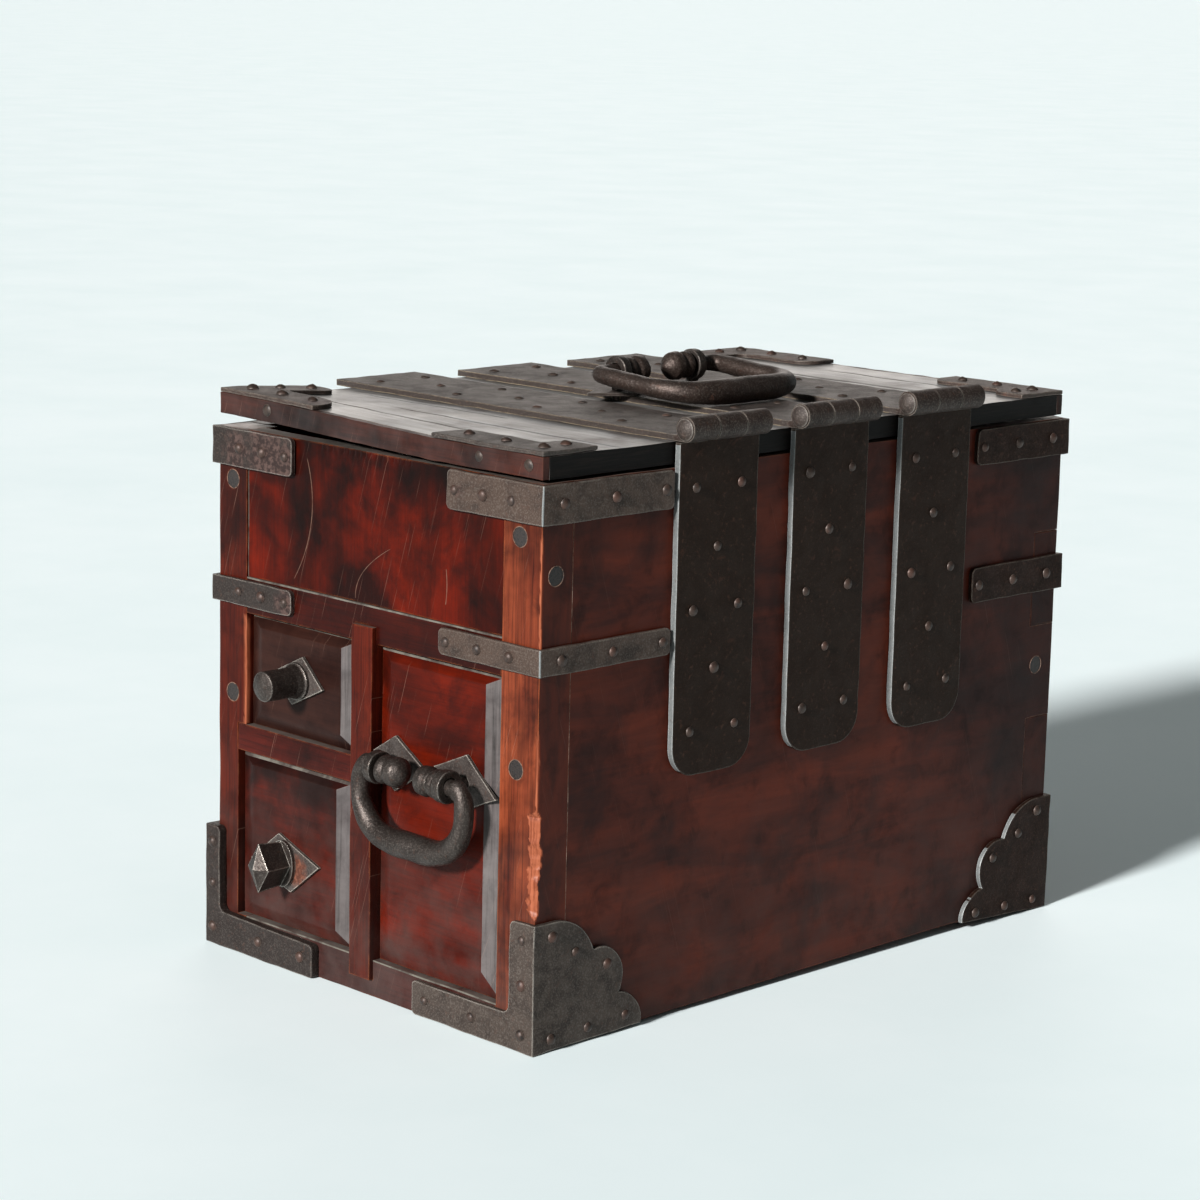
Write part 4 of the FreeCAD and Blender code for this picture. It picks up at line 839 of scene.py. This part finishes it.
def nail_places(node):
    """For each nail its foot on the iron, the way it faces, its radius and its height."""
    places = []
    for points in sorted(islands(node), key=lambda group: tuple(round(x, 5) for x in group[0])):
        low, high = corners(points)
        size = high - low
        k = min(range(3), key=lambda axis: size[axis])
        at_low = sum(abs(p[k] - low[k]) < 1e-5 for p in points)
        at_high = sum(abs(p[k] - high[k]) < 1e-5 for p in points)
        facing, foot = Vector(), (low + high) / 2
        facing[k] = 1.0 if at_low > at_high else -1.0
        foot[k] = low[k] if facing[k] > 0 else high[k]
        places.append((foot, facing, max(size) / 2, size[k]))
    return places


def growing_tree(name, result, **inputs):
    """A tree that takes points and these inputs; gives the tree, its inputs' identifiers and their outputs."""
    tree = bpy.data.node_groups.new(name, "GeometryNodeTree")
    made = {label: tree.interface.new_socket(label, in_out="INPUT", socket_type="NodeSocket" + kind).identifier
            for label, kind in dict(Points="Geometry", **inputs).items()}
    tree.interface.new_socket(result, in_out="OUTPUT", socket_type="NodeSocketGeometry")
    return tree, made, add(tree, "NodeGroupInput").outputs


def faced(tree):
    """The turn that stands a shape upright on the way that its point faces."""
    facing = add(tree, "GeometryNodeInputNamedAttribute", {"Name": "facing"}, data_type="FLOAT_VECTOR")
    return add(tree, "FunctionNodeAlignRotationToVector", {"Vector": facing}, axis="Z")


def nail_tree():
    """One hammered head on each point: a low dome, its rim and crown uneven from nail to nail."""
    tree, made, given = growing_tree("hammered_nail_heads", "Nails", Unevenness="Float", Squareness="Float",
                                     Seed="Int", Iron="Material")
    ball = add(tree, "GeometryNodeMeshUVSphere", {"Segments": 12, "Rings": 8, "Radius": 1.0})
    spot = add(tree, "ShaderNodeSeparateXYZ", {0: add(tree, "GeometryNodeInputPosition")})
    crown = add(tree, "ShaderNodeMath", {0: spot.outputs["Z"], 1: -0.02}, operation="MAXIMUM")
    x, y = (add(tree, "ShaderNodeMath", {0: spot.outputs[axis]}, operation="ABSOLUTE") for axis in "XY")
    reach = add(tree, "ShaderNodeMath", {0: x, 1: y}, operation="MAXIMUM")
    short = add(tree, "ShaderNodeMath", {0: 1.0, 1: reach}, operation="SUBTRACT")
    square = add(tree, "ShaderNodeMath", {0: 1.0, 1: both(tree, short, given["Squareness"])},
                 operation="SUBTRACT")
    shaped = add(tree, "ShaderNodeCombineXYZ", {
        0: both(tree, spot.outputs["X"], square), 1: both(tree, spot.outputs["Y"], square), 2: crown})
    head = add(tree, "GeometryNodeSetPosition", {"Geometry": ball, "Position": shaped})
    turned = faced(tree)
    spin = add(tree, "FunctionNodeRandomValue", {"Min": (0, 0, 0), "Max": (0, 0, 6.283), "Seed": given["Seed"]},
               data_type="FLOAT_VECTOR")
    spun = add(tree, "FunctionNodeRotateRotation", {0: turned, 1: spin}, rotation_space="LOCAL")
    broad, high = (
        both(tree, add(tree, "GeometryNodeInputNamedAttribute", {"Name": label}, data_type="FLOAT"),
             add(tree, "FunctionNodeRandomValue", {2: least, 3: most, "Seed": given["Seed"]},
                 data_type="FLOAT").outputs[1])
        for label, least, most in (("half_width", 1.05, 1.35), ("rise", 0.95, 1.25)))
    spread = add(tree, "ShaderNodeCombineXYZ", {0: broad, 1: broad, 2: high})
    dots = add(tree, "GeometryNodeMeshToPoints", {"Mesh": given["Points"]})
    laid = add(tree, "GeometryNodeInstanceOnPoints", {"Points": dots, "Instance": head, "Rotation": spun,
                                                      "Scale": spread})
    real = add(tree, "GeometryNodeRealizeInstances", {"Geometry": laid})
    rough = add(tree, "ShaderNodeTexNoise", {"Scale": 260.0, "Detail": 2.0})
    to_and_fro = add(tree, "ShaderNodeVectorMath", {0: rough.outputs["Color"], 1: (0.5, 0.5, 0.5)},
                     operation="SUBTRACT")
    dent = add(tree, "ShaderNodeVectorMath", {0: to_and_fro, "Scale": given["Unevenness"]}, operation="SCALE")
    beaten = add(tree, "GeometryNodeSetPosition", {"Geometry": real, "Offset": dent})
    smooth = add(tree, "GeometryNodeSetShadeSmooth", {"Geometry": beaten, "Shade Smooth": True})
    iron = add(tree, "GeometryNodeSetMaterial", {"Geometry": smooth, "Material": given["Iron"]})
    add(tree, "NodeGroupOutput", {0: iron})
    return tree, made


def grown(name, points, tree, inputs, attributes):
    """Runs a tree on points that carry attributes, and gives the mesh with its normals outward."""
    seedbed = bpy.data.meshes.new(name + "_points")
    seedbed.from_pydata([tuple(p) for p in points], [], [])
    for label, (kind, values) in attributes.items():
        layer = seedbed.attributes.new(label, kind, "POINT")
        for item, value in zip(layer.data, values):
            if kind == "FLOAT_VECTOR":
                item.vector = value
            else:
                item.value = value
    holder = bpy.data.objects.new(name + "_seedbed", seedbed)
    bpy.context.scene.collection.objects.link(holder)
    worker = holder.modifiers.new("grow", "NODES")
    worker.node_group = tree
    for identifier, value in inputs.items():
        worker[identifier] = value
    mesh = as_evaluated(holder)
    bmesh.ops.recalc_face_normals(mesh, faces=mesh.faces)
    return mesh


nails, nail_inputs = nail_tree()
for node, iron, uneven_by, squareness, seed in (
        ("carcass_nails", rusty_nail_iron("rusty_nail_heads", "3d2f28", 0.2), 0.0007, 0.15, 3),
        ("lid_nails", rusty_nail_iron("rusty_lid_nail_heads", "382c25", 0.9), 0.0012, 0.45, 8)):
    places = nail_places(node)
    feet = [p[0] + Vector((0, 0, lift(p[0]) if node == "lid_nails" else 0)) for p in places]
    inputs = {"Unevenness": uneven_by, "Squareness": squareness, "Seed": seed, "Iron": iron}
    heads = grown(node, feet, nails, {nail_inputs[label]: value for label, value in inputs.items()}, {
        "facing": ("FLOAT_VECTOR", [p[1] for p in places]),
        "half_width": ("FLOAT", [p[2] for p in places]),
        "rise": ("FLOAT", [p[3] * (0.75 if node == "lid_nails" else 1.1) for p in places])})
    piece("hammered_" + node, heads, iron, "nail_iron", node, smooth=60)


# ---- Rings of filler round the plugs ----
def ring_tree():
    """A thin uneven ring, laid flat on each point."""
    tree, made, given = growing_tree("filler_rings", "Rings", Radius="Float", Thickness="Float",
                                     Filler="Material")
    hoop = add(tree, "GeometryNodeCurvePrimitiveCircle", {"Resolution": 40, "Radius": given["Radius"]})
    wire = add(tree, "GeometryNodeCurvePrimitiveCircle", {"Resolution": 6, "Radius": given["Thickness"]})
    ring = add(tree, "GeometryNodeCurveToMesh", {"Curve": hoop, "Profile Curve": wire})
    turned = faced(tree)
    dots = add(tree, "GeometryNodeMeshToPoints", {"Mesh": given["Points"]})
    laid = add(tree, "GeometryNodeInstanceOnPoints", {"Points": dots, "Instance": ring, "Rotation": turned})
    real = add(tree, "GeometryNodeRealizeInstances", {"Geometry": laid})
    filler = add(tree, "GeometryNodeSetMaterial", {"Geometry": real, "Material": given["Filler"]})
    add(tree, "NodeGroupOutput", {0: filler})
    return tree, made


rings, ring_inputs = ring_tree()
ring_places, ring_ways = [], []
for points in islands("wooden_plugs"):
    low, high = corners(points)
    k = 1 if low.y < FRONT + 5 * MM else 0          # plugs in the front face it, the others the right side
    centre, way = (low + high) / 2, Vector()
    centre[k] = low[k] if k == 1 else high[k]
    way[k] = -1.0 if k == 1 else 1.0
    ring_places.append(centre)
    ring_ways.append(way)
filler = filler_line("pale_joint_filler")
hoops = grown("plug", ring_places, rings, {ring_inputs["Radius"]: 6.1 * MM, ring_inputs["Thickness"]: 0.3 * MM,
                                           ring_inputs["Filler"]: filler},
              {"facing": ("FLOAT_VECTOR", ring_ways)})
piece("filler_rings_round_plugs", hoops, filler, "plug_wood", body="root")


# ---- Floor, light and camera ----
def pale_floor(tree):
    """Smooth plaster, faintly cloudy."""
    cloud = uneven(tree, 0.25, 0.2)
    return {"Base Color": coats(tree, "edfafb", (part_of(tree, cloud, 0.3, 0.7), "f3feff"))}


floor_mesh = bmesh.new()
bmesh.ops.create_grid(floor_mesh, x_segments=8, y_segments=8, size=130.0)
for v in floor_mesh.verts:
    v.co.z = -0.0002
floor_data = bpy.data.meshes.new("floor")
floor_mesh.to_mesh(floor_data)
floor_mesh.free()
floor_data.materials.append(finish("smooth_pale_plaster", pale_floor, Roughness=0.75))
floor = bpy.data.objects.new("floor", floor_data)
bpy.context.scene.collection.objects.link(floor)


def soft_light(name, way, strength, spread, tint):
    """Even light from far away; the spread in degrees makes its shadows soft."""
    lamp = bpy.data.lights.new(name, "SUN")
    lamp.energy = strength
    lamp.angle = math.radians(spread)
    lamp.color = colour(tint)[:3]
    holder = bpy.data.objects.new(name, lamp)
    holder.rotation_euler = Vector(way).to_track_quat("-Z", "Y").to_euler()
    bpy.context.scene.collection.objects.link(holder)


soft_light("window_light", (-0.10, 1.0, -0.44), 6.2, 8, "fffdfc")
soft_light("back_wall_bounce", (2.0, -2.2, -0.68), 0.58, 34, "fdf5ee")

world = bpy.data.worlds.new("pale_room")
world.use_nodes = True
sky = world.node_tree.nodes["Background"]
sky.inputs["Color"].default_value = colour("e6f3f5")
seen = add(world.node_tree, "ShaderNodeLightPath").outputs["Is Camera Ray"]
strength = add(world.node_tree, "ShaderNodeMapRange", {0: seen, 3: 0.15, 4: 0.9})
world.node_tree.links.new(strength.outputs[0], sky.inputs["Strength"])
bpy.context.scene.world = world
bpy.context.scene.view_settings.view_transform = "Standard"

eye = Vector((1.50015, -1.53524, 0.64304))
yaw, pitch, roll = 0.7892, 0.1926, 0.0238
ahead = Vector((-math.sin(yaw) * math.cos(pitch), math.cos(yaw) * math.cos(pitch), -math.sin(pitch)))
sideways = Vector((math.cos(yaw), math.sin(yaw), 0))
above = sideways.cross(ahead)
right = math.cos(roll) * sideways + math.sin(roll) * above
up = math.cos(roll) * above - math.sin(roll) * sideways
camera = bpy.data.objects.new("camera", bpy.data.cameras.new("camera"))
camera.data.lens = 97.68
camera.data.sensor_width = 36
camera.matrix_world = Matrix((*((right[k], up[k], -ahead[k], eye[k]) for k in range(3)), (0, 0, 0, 1)))
bpy.context.scene.collection.objects.link(camera)
bpy.context.scene.camera = camera
